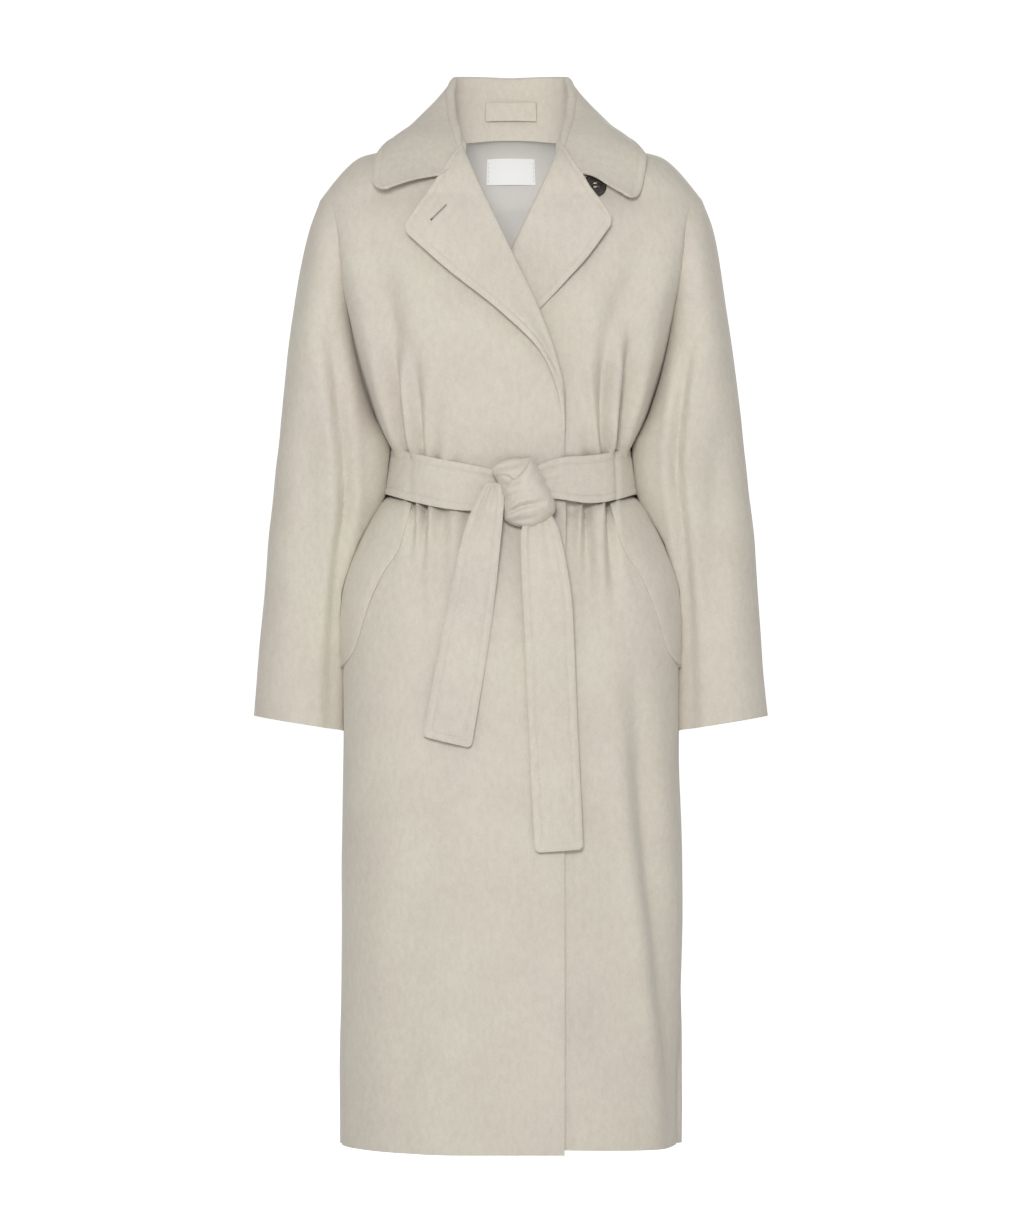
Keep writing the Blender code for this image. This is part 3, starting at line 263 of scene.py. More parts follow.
SLEEVE_CREASES = {
    (RIGHT, "front"): [
        [(-205, 222, 0, 12), (-250, 209, 4, 10), (-340, 198, 9, 8), (-430, 193, 10, 7), (-520, 204, 5, 7),
         (-620, 210, 4, 8), (-701, 212, 3, 9)],
        [(-270, 246, 0, 14), (-370, 238, 3, 13), (-520, 236, 4, 14), (-660, 246, 0, 18)],
    ],
    (LEFT, "front"): [
        [(-230, 212, 0, 12), (-300, 200, 7, 7), (-390, 193, 10, 7), (-480, 201, 7, 7), (-600, 210, 4, 8),
         (-701, 212, 3, 9)],
        [(-300, 250, 0, 14), (-430, 240, 4, 14), (-560, 240, 3, 14), (-690, 252, 0, 18)],
    ],
    (RIGHT, "back"): [
        [(-230, 216, 0, 12), (-330, 200, 5, 11), (-450, 196, 7, 11), (-560, 214, 3, 14),
         (-660, 222, 0, 16)],
        [(-330, 250, 0, 14), (-470, 240, 5, 13), (-600, 250, 0, 16)],
    ],
    (LEFT, "back"): [
        [(-240, 214, 0, 12), (-350, 198, 6, 11), (-470, 198, 6, 11), (-580, 216, 2, 14),
         (-680, 224, 0, 16)],
        [(-300, 252, 0, 14), (-440, 242, 4, 13), (-640, 252, 0, 16)],
    ],
}
CREASE_END = 20.0
CREASE_RIDGE = 0.3
CREASE_RIDGE_AWAY = 1.9

# Slow unevenness of hanging cloth: waves a metre across and up, their starts and their shares
UNEVEN_WAVES = (
    (9.0, 5.0, 0.4, 0.40), (-6.0, 8.5, 1.9, 0.28), (14.0, -4.0, 3.1, 0.18), (3.0, 17.0, 5.2, 0.10),
    (21.0, 9.0, 0.9, 0.09), (-17.0, 13.0, 2.4, 0.07),
)
UNEVEN_DEPTH_SHARE = 0.6
UNEVEN_HEIGHTS = (-35.0, -135.0)
UNEVEN_CALM = 34.0

# Rows and columns of the panels
SHOULDER_STEPS = np.linspace(0, 1, 19)[:-1]
UPPER_LEVELS = np.linspace(SHOULDER_LEVEL, UNDERARM_LEVEL, 52)
SKIRT_STRETCHES = ((-328, -364, 12), (-364, -424, 14), (-424, -540, 34), (-540, -760, 34), (-760, -1187, 46))
SLEEVE_LEVELS = np.linspace(UNDERARM_LEVEL, CUFF_LEVEL, 72)
FRONT_COLUMNS = 112
COLUMN_CROWDING = 0.82
BACK_NECK_COLUMNS = 26
BACK_COLUMNS = 84
SLEEVE_COLUMNS = 48
SLEEVE_CROWDING = 1.3
SLEEVE_FULL = 0.45
SLEEVE_FULL_TOP = -170.0
PANELS = {
    "front_right": (RIGHT, "front"),
    "front_left": (LEFT, "front"),
    "back_right": (RIGHT, "back"),
    "back_left": (LEFT, "back"),
}

# Lapels: outer edge from the tip down to the break, by share of the fold line's length
LAPEL_TOP = -19.0
LAPEL_BREAK = {RIGHT: -350.0, LEFT: -318.0}
ROLL_INSET = 7.8
ROLL_OUT = {RIGHT: -288.0, LEFT: -318.0}
ROLL_OUT_RUN = 30.0
ROLL_COVER = 0.9
ROLL_COVER_RUN = (-26.0, 6.0)
ROLL_END = 0.06
EDGE_STEP = 2.0
LAPEL_TIP_ROUND = 0.07
LAPEL_TIP_SHARE = 0.035
LAPEL_GAP = 1.0
LAPEL_LIFT = 9.0
LAPEL_LIFT_END = {RIGHT: (0.5, 0.95), LEFT: (0.12, 0.5)}
LAPEL_TOP_RISE = 4.0
LAPEL_THINS = (0.84, 1.0)
LAPEL_THIN = 0.9
LAPEL_END_IN = 1.0
LAPEL_WALL_THIN = 0.86
LAPEL_CROWDING = 1.5
LAPEL_TOP_SHARE = 0.22
LAPEL_OUTLINE = {
    RIGHT: Table(
        "share across level",
        [
            (0, -124, -119), (0.22, -72, -166), (0.45, -10, -216), (0.66, 35, -262), (0.82, 51, -296),
            (0.92, 57.5, -326), (1, 61.5, -352),
        ],
    ),
    LEFT: Table(
        "share across level",
        [
            (0, -117, -110), (0.25, -80, -160), (0.5, -30, -212), (0.75, 28, -262), (0.9, 46, -296),
            (1, 53, -327),
        ],
    ),
}
LAPEL_STITCHED = 0.74
LAPEL_ROWS = 120
LAPEL_COLUMNS = 64
ROLL_COLUMNS = 14

# Collar: fold line and outer edge, a row for each station from the middle back to the front end
COLLAR = Table(
    "station roll_x roll_y roll_z edge_x edge_y edge_z",
    [
        (0.0, 0, 82, 78, 0, 124, -8),
        (0.2, 40, 77, 79, 55, 119, -9),
        (0.38, 67, 58, 77, 102, 92, -8),
        (0.52, 72, 32, 59, 131, 52, -6),
        (0.68, 70, 2, 33, 144, 6, -5),
        (0.84, 62, -43, 3, 160, -52, -29),
        (1.0, 50.5, -80, -29, 163, -93, -60),
    ],
)
COLLAR_TIP_SHIFT = {RIGHT: (0.0, 0.0, -11.0), LEFT: (-12.0, 0.0, -25.0)}
COLLAR_TIP_START = 0.8
COLLAR_SHOULDER = 0.5
COLLAR_FRONT_STEP = 0.60
COLLAR_STATIONS = 96
COLLAR_CROWDING = 1.1
COLLAR_ROLL = 5.6
COLLAR_BULGE = 7.0
COLLAR_END_DROP = {
    RIGHT: Table("span drop", [(0, 0), (0.24, 13.5), (0.6, 10.5), (0.88, 5), (1, 0)]),
    LEFT: Table("span drop", [(0, 0), (0.14, 9), (0.38, 5.5), (0.57, 7), (0.85, 3), (1, 0)]),
}
COLLAR_DROP_SLOPE = 0.6
COLLAR_END_BULGE = 0.5
COLLAR_SETTLES = 0.8
COLLAR_SETTLE_SHARE = 0.7
COLLAR_SETTLE_OUT = 1.4
COLLAR_FRONT_RISE = 4.0
COLLAR_TIP_ROUND = 0.13
COLLAR_TIP_SHARE = 0.075
COLLAR_STAND_COLUMNS = 22
COLLAR_ROLL_COLUMNS = 12
COLLAR_FALL_COLUMNS = 52
STAND_LINE_RISE = 0.80
STAND_LINE_WIDTH = 0.035
STAND_LINE_DEPTH = 1.8
STAND_LOW = 5.0

# Belt: half width and depths at its middle, its growth from upper to lower edge, its pull towards the knot
BELT_WIDTH = 57.0
BELT_HALF = 146.0
BELT_FRONT = 112.5
BELT_BACK = 94.0
BELT_FLARE = 4.5
BELT_STEPS = 320
BELT_BANDS = 34
BELT_KNOT_GAP = 14.0
BELT_PINCH = 0.34
BELT_PINCH_REACH = 48.0
BELT_PLEATS = ((-0.55, 0.16, 2.2), (0.05, 0.14, 2.6), (0.5, 0.15, 1.8))
BELT_PLEAT_REACH = 70.0
BELT_RAISED = 10.0
BELT_RAISED_AT = 50.0
BELT_RAISED_REACH = 38.0
BELT_RIPPLES = ((0.5, 19.0, 2.0), (0.35, 8.3, -1.4))
BELT_BENDS = ((124.0, 3.0, 2.6), (-118.0, 4.0, 1.2))
KNOT_PLACE = (15.0, -421.0)
KNOT_DEPTH = 33.0
KNOT_BACK = 10.0
KNOT_POWER = 2.5
KNOT_OUTLINE = np.array(
    [
        (-12.7, 38.2), (-27.7, 33.6), (-39.0, 25.0), (-32.3, 15.5), (-27.2, 5.9), (-22.5, -8.0),
        (-22.5, -21.8),
        (-23.1, -33.4), (-11.5, -39.6), (0.0, -42.0), (11.5, -42.6), (21.9, -37.2), (36.4, -23.0),
        (31.2, -2.2),
        (24.2, 10.5), (16.2, 25.5), (9.2, 39.5), (-2.3, 37.5),
    ]
)
KNOT_SOFTENING = 0.07
KNOT_SPREAD = np.linspace(-2, 2, 9)
KNOT_LAP = Table(
    "across rise",
    [(-45, 21), (-34, 19.5), (-18.8, 18), (-11.5, 13), (-5, 18), (0.6, 24.3), (8.1, 36), (14, 48)],
)
KNOT_LAP_DEPTH = 7.0
KNOT_LAP_RUN = 2.4
KNOT_CREASES = [
    [(-24, -27.5, 4.5, 3), (-12, -22.5, 5, 3.2), (-2.3, -18, 4.5, 3.2), (10, -15.5, 3.4, 3.4),
     (24, -13, 1.5, 4)],
    [(-20, 6.5, 3, 2.6), (-12, 9.5, 2.6, 2.8), (-2, 14, 0, 3)],
    [(-22, -10, 2.4, 3.4), (-6, -4.5, 2, 4), (12, -3, 0.8, 5), (22, -3, 0, 5)],
    [(-16, -35, 2, 2.6), (0, -33, 2.4, 3), (14, -31, 1, 3.4)],
    [(-30, 27, 2.2, 3), (-14, 29.5, 2.2, 3.4), (0, 33, 1, 3)],
]
KNOT_CREASE_END = 5.0
KNOT_RELIEF_FULL = 0.7
KNOT_LEAST = 0.5
KNOT_RINGS = 150
KNOT_SIDES = 150
BELT_ENDS = {
    "belt_end_right": Table(
        "level middle half",
        [
            (-412, -19, 9), (-428, -22.5, 15), (-450, -28, 19), (-485, -35, 22.5), (-530, -42, 25),
            (-600, -53.5, 27), (-711, -73, 28),
        ],
    ),
    "belt_end_left": Table(
        "level middle half",
        [
            (-450, 32, 15), (-470, 33.5, 22), (-510, 38, 26), (-555, 42, 28), (-700, 48.5, 28),
            (-836, 55, 27.5),
        ],
    ),
}
BELT_END_SLANT = {"belt_end_right": -11.0, "belt_end_left": 3.0}
BELT_END_ROWS = 110
BELT_END_COLUMNS = 44
BELT_END_CROWN = 1.5
BELT_END_OFF = 3.0
BELT_END_OFF_FROM = 0.6
BELT_CORNER_SHARE = 0.016
BELT_CORNER_ROUND = 0.16
BELT_END_SETTLES = (0.08, 0.55)
BELT_END_STAND = {"belt_end_right": 20.0, "belt_end_left": 13.0}
BELT_END_PLEATS = ((-0.45, 0.2, 2.4), (0.3, 0.22, 2.0))
BELT_END_PLEATS_END = 0.4
BELT_END_WAVE = (0.8, 5.0, 1.3)
BELT_END_WAVE_LEAST = -0.4

# Pocket welts: the slanted seam, from the belt down, by level
WELT_SEAM = Table(
    "level across",
    [(-426, 115), (-482, 129), (-514, 148), (-549, 164), (-585, 175), (-604, 181), (-616, 188.5),
     (-624, 195.5)],
)
WELT_TOP = -427.0
WELT_BOTTOM = -624.0
WELT_TURN = 1.50
WELT_BULGE = 2.2
WELT_ROWS = 80
WELT_COLUMNS = 30
WELT_TUCK = 0.16
WELT_STEP = 0.004

# Small pieces
LINING_BOTTOM = -300.0
LINING_HALF = 118.0
LINING_COLUMNS = 60
LINING_FOLD = (0.7, 9.5)
LINING_WANDER = (0.5, 45.0)
LINING_FOLD_HEIGHTS = (-30.0, -150.0)
LABEL_HALF = 30.5
LABEL_TOP = -18.0
LABEL_BOTTOM = -49.0
LABEL_COLUMNS = 30
LABEL_ROWS = 24
LABEL_CLOTH = 0.9
LABEL_FULL = 0.8
LABEL_STITCH_IN = 2.0
LOOP_CLOTH = 2.2
LOOP_FULL = 1.4
LOOP_STITCH_IN = 3.0
LOOP_STATION = 0.155
LOOP_COLUMNS = 30
LOOP_ROWS = 16
LOOP_RISE = (0.28, 0.62)
BUTTON_PLACE = (97.5, -64.5)
BUTTON_RADIUS = 14.0
BUTTON_THICK = 4.2
BUTTON_SEAT = -1.1
BUTTON_RINGS = 60
BUTTON_SIDES = 96
BUTTON_HOLE_AWAY = 3.1
BUTTON_HOLE_RADIUS = 1.15
BUTTON_HOLE_DEPTH = 2.2
BUTTON_HOLE_PAIRS = ((0, 1), (3, 2))
BUTTON_THREADS = np.linspace(-0.5, 0.5, 4)
BUTTON_THREAD_LIFT = 0.1
BUTTON_FACE = 0.74
BUTTON_FACE_FROM = 0.62
BUTTON_RADII = ((0, 0), (0.2, 0.86), (0.3, 0.98), (0.4, 1), (0.5, 0.96), (0.6, 0.86), (1, 0))
BUTTON_RISES = (
    (0, 0), (0.2, 0), (0.3, 0.16), (0.4, 0.5), (0.5, 0.86), (0.6, 1), (0.66, 0.82), (1, BUTTON_FACE),
)
BUTTON_STREAK = 2.6
BUTTONHOLE_ENDS = ((-93.0, -107.0), (-74.5, -88.0))
BUTTONHOLE_SLIT = 0.3
BUTTONHOLE_EYE = 0.7
BUTTONHOLE_EYE_RUN = 0.09
BUTTONHOLE_RIM = 1.5
BUTTONHOLE_STITCHES = 84
BUTTONHOLE_STEPS = 24
BUTTONHOLE_BLEND = 8.0
SLIT_COLUMNS = 5
SLIT_EYE_AT = 0.6
SLIT_LIFT = 0.25
SLIT_WALL = 0.3

# Sewing: how edge stitches draw the cloth in, fill it out and thin it, and the shape of a thread
DRAWN_WIDTH = 1.7
FULL_RISE = 0.55
FULL_SPREAD = 2.4
THIN_DROP = 0.7
THIN_WIDTH = 1.6
THREAD_STEPS = 5
THREAD_SIDES = 5
THREAD_TAPER = 0.45
THREAD_BOW = 0.8
BUTTON_THREAD = (0.42, 0.7)
BUTTONHOLE_THREAD = (0.36, 0.5)

# Cloths: two colours with their shares, fibres, how far they are drawn out, mottling, bump, roughness, sheen
CLOTHS = {
    "felted_wool": ("wool", 1.0, "wool_deep", 1.0, 900.0, 0.6, 0.6, 0.3, 0.92, 0.25),
    "sewing_thread": ("thread", 1.0, "thread", 0.8, 2600.0, 1.0, 0.2, 0.2, 0.7, 0.1),
    "lining_satin": ("lining", 1.0, "lining", 0.9, 1800.0, 0.05, 0.3, 0.06, 0.42, 0.05),
    "label_weave": ("label", 1.0, "label", 0.9, 2600.0, 0.2, 0.2, 0.15, 0.6, 0.05),
    # buttonhole_shade is painted shade: near-black wool for the shaded opening of the buttonhole's slit
    "buttonhole_shade": ("wool_deep", 0.16, "wool_deep", 0.16, 900.0, 0.6, 0.2, 0.2, 0.95, 0.0),
}

# Stage: the floor's rings and bend, each light's power, place, target and size, and the camera
FLOOR_RINGS = (0.02, 3.0, 6.0)
FLOOR_SIDES = 96
BEND_STEPS = 12
BEND_RADIUS = 2.0
BACKDROP_HEIGHT = 7.0
LIGHTS = {
    "front_light": ("key", (-0.35, -4.9, 0.75), (0, 0, -0.55), 1.3),
    "top_light": ("top", (0.3, -1.6, 3.0), (0, 0, -0.55), 2.6),
    "back_light": ("back", (1.0, 4.6, 1.0), (0, 0, -0.55), 2.6),
    "neck_light": ("neck", (0, -0.02, -0.07), (0, 0.1, -0.07), 0.12),
}
VIEW_ROWS = 1231
VIEW_HEIGHT = -0.5646
SENSOR = 24.0


def length_property(name, about, value):
    """A property that holds a length in metres."""
    return FloatProperty(name=name, description=about, default=value, unit="LENGTH")


def power_property(name, about, value):
    """A property that holds the power of a light."""
    return FloatProperty(name=name, description=about, default=value, unit="POWER")


def colour_property(name, about, value):
    """A property that holds a colour."""
    return FloatVectorProperty(name=name, description=about, default=value,
                               size=3, min=0, max=1, subtype="COLOR")


class CoatSizes(PropertyGroup):
    """Sizes of cloth and sewing that a user may change."""

    cloth: length_property("Cloth", "Wall of the panels", 0.0026)
    folded: length_property("Folded cloth", "Wall of lapels and collar", 0.0034)
    belt: length_property("Belt cloth", "Wall of the belt", 0.0044)
    lining: length_property("Lining", "Wall of the lining", 0.001)
    edge_round: length_property("Edge round", "Rounding of cut edges", 0.0015)
    creases: FloatProperty(name="Creases", description="Depth of every crease, as a share", default=1.0,
                           subtype="FACTOR")
    uneven: length_property("Unevenness", "Slow waves in the hanging cloth", 0.0016)
    stitch: length_property("Stitch", "Length of one stitch", 0.0036)
    stitch_pitch: length_property("Stitch pitch", "From stitch to stitch", 0.0052)
    stitch_inset: length_property("Stitch inset", "From an edge to its stitches", 0.0092)
    thread: length_property("Thread", "Radius of the thread", 0.00034)
    groove: length_property("Groove", "How deep stitches draw the cloth in", 0.0007)


class CoatColours(PropertyGroup):
    """Colours of the finishes."""

    wool: colour_property("Wool", "Felted wool", (0.632, 0.588, 0.506))
    wool_deep: colour_property("Wool, deep", "Between the fibres of the nap", (0.515, 0.475, 0.402))
    thread: colour_property("Thread", "Sewing thread", (0.66, 0.62, 0.54))
    lining: colour_property("Lining", "Pale grey satin", (0.84, 0.83, 0.805))
    label: colour_property("Label", "White woven label", (0.93, 0.93, 0.92))
    button: colour_property("Button", "Polished dark resin", (0.016, 0.012, 0.010))


class CoatStage(PropertyGroup):
    """Camera, floor and light."""

    distance: length_property("Distance", "From the camera to the coat's middle", 6.0)
    pixel: length_property("Pixel", "Size of a pixel at the coat's middle", 0.00118)
    floor: length_property("Floor", "Height of the floor", -1.36)
    around: length_property("Backdrop", "Radius of the round backdrop", 9.0)
    sky: FloatProperty(name="Sky", description="Strength of the light from all sides", default=0.355)
    key: power_property("Key", "Power of the large front light", 128.0)
    top: power_property("Top", "Power of the light overhead", 12.0)
    back: power_property("Back", "Power of the light behind", 70.0)
    neck: power_property("Neck", "Power of the small light inside the neck", 0.05)
    backdrop_glow: FloatProperty(name="Backdrop glow", description="Light the backdrop gives off",
                                 default=0.12)
    backdrop_white: FloatProperty(name="Backdrop white", description="How bright the backdrop is seen",
                                  default=0.7)


def sizes():
    """The sizes set for this scene."""
    return bpy.context.scene.coat_sizes


def shaded(name, share):
    """A share of one of the scene's colours, with full cover."""
    return (*(share * value for value in getattr(bpy.context.scene.coat_colours, name)), 1)


def bell(value):
    """A smooth bump round 0, exp(-value^2)."""
    return np.exp(-(value**2))


def bells(places, rows):
    """A sum of bumps: each row gives a bump's place, width and height."""
    return sum(high * bell((places - at) / wide) for at, wide, high in rows)


def smooth_step(low, high, value):
    """A soft change from 0 at low to 1 at high."""
    part = np.clip((value - low) / (high - low), 0, 1)
    return part * part * (3 - 2 * part)


def stack(across, depth, height):
    """Three arrays of coordinates as one array of points."""
    return np.stack(np.broadcast_arrays(across, depth, height), axis=-1).astype(float)


def unit(vectors):
    """The same directions with the length 1."""
    return vectors / np.maximum(np.linalg.norm(vectors, axis=-1, keepdims=True), 1e-9)


def place(grid, side):
    """A grid drawn for the wearer's left, moved to its own side of the coat."""
    return grid * np.array([side, 1, 1])


def arch(across, half, crown, foot):
    """Depth of a rounded section: foot + (crown - foot) (1 - share^p)^(1/p), from its middle to its end."""
    share = np.clip(np.abs(across) / half, 0, 1)
    return foot + (crown - foot) * (1 - share**SECTION_POWER) ** (1 / SECTION_POWER)


def crown_depth(level, face):
    """Where the middle front or the middle back lies at a level."""
    return -BODY.at("front", level) if face == "front" else BODY.at("back", level)


def cape_depth(across, level, face):
    """Depth of the outline that runs over body and sleeve alike, as at the shoulder."""
    outer = SLEEVE.at("outer", level)
    return arch(across, outer, crown_depth(level, face), SLEEVE.at("outer_y", level))


def body_depth(across, level, face):
    """Depth of the body: a cape at the shoulder that becomes a trunk of its own lower down."""
    trunk = arch(across, BODY.at("reach", level), crown_depth(level, face), BODY.at("fold_" + face, level))
    parting = BODY.at("parting", level)
    return (1 - parting) * cape_depth(across, level, face) + parting * trunk


def sag(across, level, face):
    """How far the front hangs below its level round the tied belt: most in the middle, fading up and down."""
    if face == "back":
        return 0 * across * level
    share = np.clip(across / BODY.at("reach", level), -1, 1)
    return BELT_SAG * (1 - share**2) * bell((level - BELT_LEVEL) / BELT_SAG_REACH)


def underlap(across, level):
    """How much the left front is set back below the right front and its lapel."""
    past = EDGE.at("past", level)
    return UNDERLAP.at("depth", level) * (1 - smooth_step(past, past + UNDERLAP_FADE, across))


def crease_press(rows, across, level, end=CREASE_END):
    """How far creases move the cloth out: a trough exp(-d^2) with a lower ridge along each side."""
    press = 0 * across * level
    for points in rows:
        crease = Table(CREASE_COLUMNS, points)
        top, bottom = crease.rows[-1, 0], crease.rows[0, 0]
        away = (across - crease.at("across", level)) / crease.at("width", level)
        beyond = np.maximum(np.maximum(level - top, bottom - level), 0)
        deep = crease.at("depth", level) * (1 - smooth_step(0, end, beyond))
        ridges = bell(away - CREASE_RIDGE_AWAY) + bell(away + CREASE_RIDGE_AWAY)
        press = press + deep * (CREASE_RIDGE * ridges - bell(away))
    return press * sizes().creases


def unevenness(points):
    """Slow waves, a sum of sines over across and height, that keep hanging cloth from looking ruled."""
    across, depth, height = (points[..., k] * MM for k in range(3))
    along = across + UNEVEN_DEPTH_SHARE * depth
    waves = sum(share * np.sin(np.pi * (along * a + height * b) + start)
                for a, b, start, share in UNEVEN_WAVES)
    return waves * sizes().uneven / MM


def shoulder_top(share):
    """The shoulder seam, from the neck to the shoulder, by share of its length."""
    across = NECK_HALF + (SHOULDER_HALF - NECK_HALF) * share
    depth = NECK_SEAM_Y + (SHOULDER_SEAM_Y - NECK_SEAM_Y) * share
    return stack(across, depth, NECK_SEAM_Z - SHOULDER_DROP * np.clip(share, 0, 1) ** SHOULDER_SLOPE)


def over_shoulder(top, low, step):
    """A quarter round from a point on the shoulder seam to the section at the shoulder level."""
    turn = step * QUARTER
    return top + (low - top) * stack(step**SHOULDER_SPREAD, np.sin(turn), 1 - np.cos(turn))


def front_shoulder_share(across):
    """Share of the shoulder seam that stands over a point of the front's shoulder level."""
    inner = -EDGE.at("past", SHOULDER_LEVEL)
    return (across - inner) / (SLEEVE.at("outer", SHOULDER_LEVEL) - inner)


def back_top(across):
    """The upper edge of the back over a point of its shoulder level: neck curve, then shoulder seam."""
    share = np.clip(across / BACK_NECK_COLUMN, 0, 1)
    neck_y = NECK_SEAM_Y + (NECK_BACK_Y - NECK_SEAM_Y) * np.sqrt(1 - share**2)
    neck = stack(NECK_HALF * share, neck_y, NECK_SEAM_Z + NECK_BACK_RISE * (1 - share**2))
    outer = SLEEVE.at("outer", SHOULDER_LEVEL)
    seam = shoulder_top((across - BACK_NECK_COLUMN) / (outer - BACK_NECK_COLUMN))
    return np.where((across <= BACK_NECK_COLUMN)[..., None], neck, seam)


def with_shoulder(grid, face):
    """The rows over the shoulder, set above a grid that starts at the shoulder level."""
    low = grid[0]
    top = back_top(low[:, 0]) if face == "back" else shoulder_top(front_shoulder_share(low[:, 0]))
    steps = SHOULDER_STEPS[:, None]
    rows = over_shoulder(top[None], low[None], np.repeat(steps, len(low), axis=1))
    if face == "front":
        near_neck = 1 - smooth_step(0, NECK_HOLLOW_SHARE, front_shoulder_share(low[:, 0]))
        rows[..., 0] += NECK_HOLLOW * near_neck * np.sin(np.pi * steps)
    return np.concatenate([rows, grid])


def skirt_levels():
    """Levels from the underarm to the hem, closest where the cloth is gathered at the belt."""
    runs = [np.linspace(high, low, count + 1)[1:] for high, low, count in SKIRT_STRETCHES]
    return np.concatenate([[UNDERARM_LEVEL], *runs])


def body_points(angles, levels, side, face):
    """Body cloth at angles from the middle, one row a level: across = reach sin(angle), depth by section."""
    level = levels[:, None]
    across = BODY.at("reach", level) * np.sin(angles)
    depth = body_depth(across, level, face)
    height = level - sag(across, level, face)
    if face == "front" and side == LEFT:
        depth = depth + underlap(across, level)
        middle = np.clip(1 - np.abs(across) / BODY.at("reach", level), 0, 1)
        height = height + UNDER_HEM_LIFT * middle * smooth_step(UNDER_HEM_START, HEM_LEVEL, level)
    return stack(across, depth, height)


def front_angles(levels, side):
    """Angles of a front's columns at each level, from its edge behind the lapel's roll to the side seam."""
    inset = ROLL_INSET * smooth_step(ROLL_OUT[side] - ROLL_OUT_RUN, ROLL_OUT[side], levels)
    covered = smooth_step(*(LAPEL_BREAK[side] + run for run in ROLL_COVER_RUN), levels)
    inset = np.maximum(inset, ROLL_COVER * covered)
    past = EDGE.at("past", levels) - inset
    start = -np.arcsin(np.clip(past / BODY.at("reach", levels), -1, 1))[:, None]
    return start + (QUARTER - start) * (np.arange(FRONT_COLUMNS + 1) / FRONT_COLUMNS) ** COLUMN_CROWDING


def back_angles():
    """Angles of a back half's columns, from the centre seam past the neck point to the side seam."""
    neck = np.arcsin(BACK_NECK_COLUMN / BODY.at("reach", SHOULDER_LEVEL))
    outer = np.linspace(neck, QUARTER, BACK_COLUMNS - BACK_NECK_COLUMNS + 1)[1:]
    return np.concatenate([np.linspace(0, neck, BACK_NECK_COLUMNS + 1), outer])


def passed_reach(depth, level):
    """Half width, at a depth, of the body, belt or pocket that the sleeve hangs beside."""
    foot = BODY.at("fold_front", level)
    crown = np.where(depth < foot, crown_depth(level, "front"), crown_depth(level, "back"))
    share = np.clip((depth - foot) / (crown - foot), 0, 1)
    return SLEEVE.at("passed", level) * (1 - share**SECTION_POWER) ** (1 / SECTION_POWER)


def sleeve_points(levels, face):
    """Half a sleeve from its inner to its overarm line: a half round over the chord between the two lines."""
    level = levels[:, None]
    turn = np.pi * np.linspace(0, 1, SLEEVE_COLUMNS + 1) ** SLEEVE_CROWDING
    joined = level >= UNDERARM_LEVEL
    parting = np.where(joined, BODY.at("parting", level), 1)
    share = parting * (1 - np.cos(turn)) / 2 + (1 - parting) * turn / np.pi
    inner = np.where(joined, BODY.at("reach", level), SLEEVE.at("inner", level))
    inner_y = np.where(joined, BODY.at("fold_" + face, level), SLEEVE.at("inner_y", level))
    across = inner + (SLEEVE.at("outer", level) - inner) * share
    chord = inner_y + (SLEEVE.at("outer_y", level) - inner_y) * share
    full = 1 - SLEEVE_FULL * smooth_step(SLEEVE_FULL_TOP, UNDERARM_LEVEL, level)
    lobe = np.where(turn < QUARTER, np.sin(turn) ** full, np.sin(turn))
    tube = chord + (SLEEVE.at(face, level) - chord) * lobe
    depth = (1 - parting) * cape_depth(across, level, face) + parting * tube
    across = np.where(joined, across, np.maximum(across, passed_reach(depth, level)))
    hung = smooth_step(UNDERARM_LEVEL, CUFF_LEVEL, level)
    return stack(across, depth, level + CUFF_RISE * share * hung)


def with_rows(grid, levels):
    """The level of every row of a grid, the shoulder rows at the shoulder level."""
    return np.concatenate([np.full(len(grid) - len(levels), SHOULDER_LEVEL), levels])[:, None]


def quads_of(shape, start=0, flip=False):
    """Faces of a grid of points whose first point has the number start."""
    number = np.arange(shape[0] * shape[1]).reshape(shape[:2]) + start
    quads = np.stack([number[:-1, :-1], number[1:, :-1], number[1:, 1:], number[:-1, 1:]], -1).reshape(-1, 4)
    return quads[:, ::-1] if flip else quads


def plain_faces(quads):
    """Faces without repeated corners: quads with two corners in one place become triangles."""
    same = quads == np.roll(quads, -1, axis=1)
    once = same.sum(axis=1) == 1
    return quads[~same.any(axis=1)].tolist() + quads[once][~same[once]].reshape(-1, 3).tolist()


def weld(points):
    """The first point of each place, and the number of its place for every point."""
    keys = np.round(points / WELD_REACH + WELD_SHIFT).astype(np.int64)
    return np.unique(keys, axis=0, return_index=True, return_inverse=True)[1:]


def point_normals(points, quads):
    """Outward direction at each point: the sum of the cross products of its quads' diagonals."""
    a, b, c, d = (points[quads[:, k]] for k in range(4))
    across = np.cross(c - a, d - b)
    total = np.zeros_like(points)
    for corner in range(4):
        np.add.at(total, quads[:, corner], across)
    return unit(total)


def grid_cross(grid):
    """Directions square to a grid: the cross product of its steps along rows and columns."""
    return unit(np.cross(np.gradient(grid, axis=1), np.gradient(grid, axis=0)))


def faces_out(normals, outward):
    """Whether the middle of a grid's directions faces outward."""
    return bool(normals[normals.shape[0] // 2, normals.shape[1] // 2] @ np.array(outward) > 0)


def grid_normals(grid, outward):
    """Directions square to a grid, turned so that its middle faces outward."""
    normals = grid_cross(grid)
    return normals if faces_out(normals, outward) else -normals


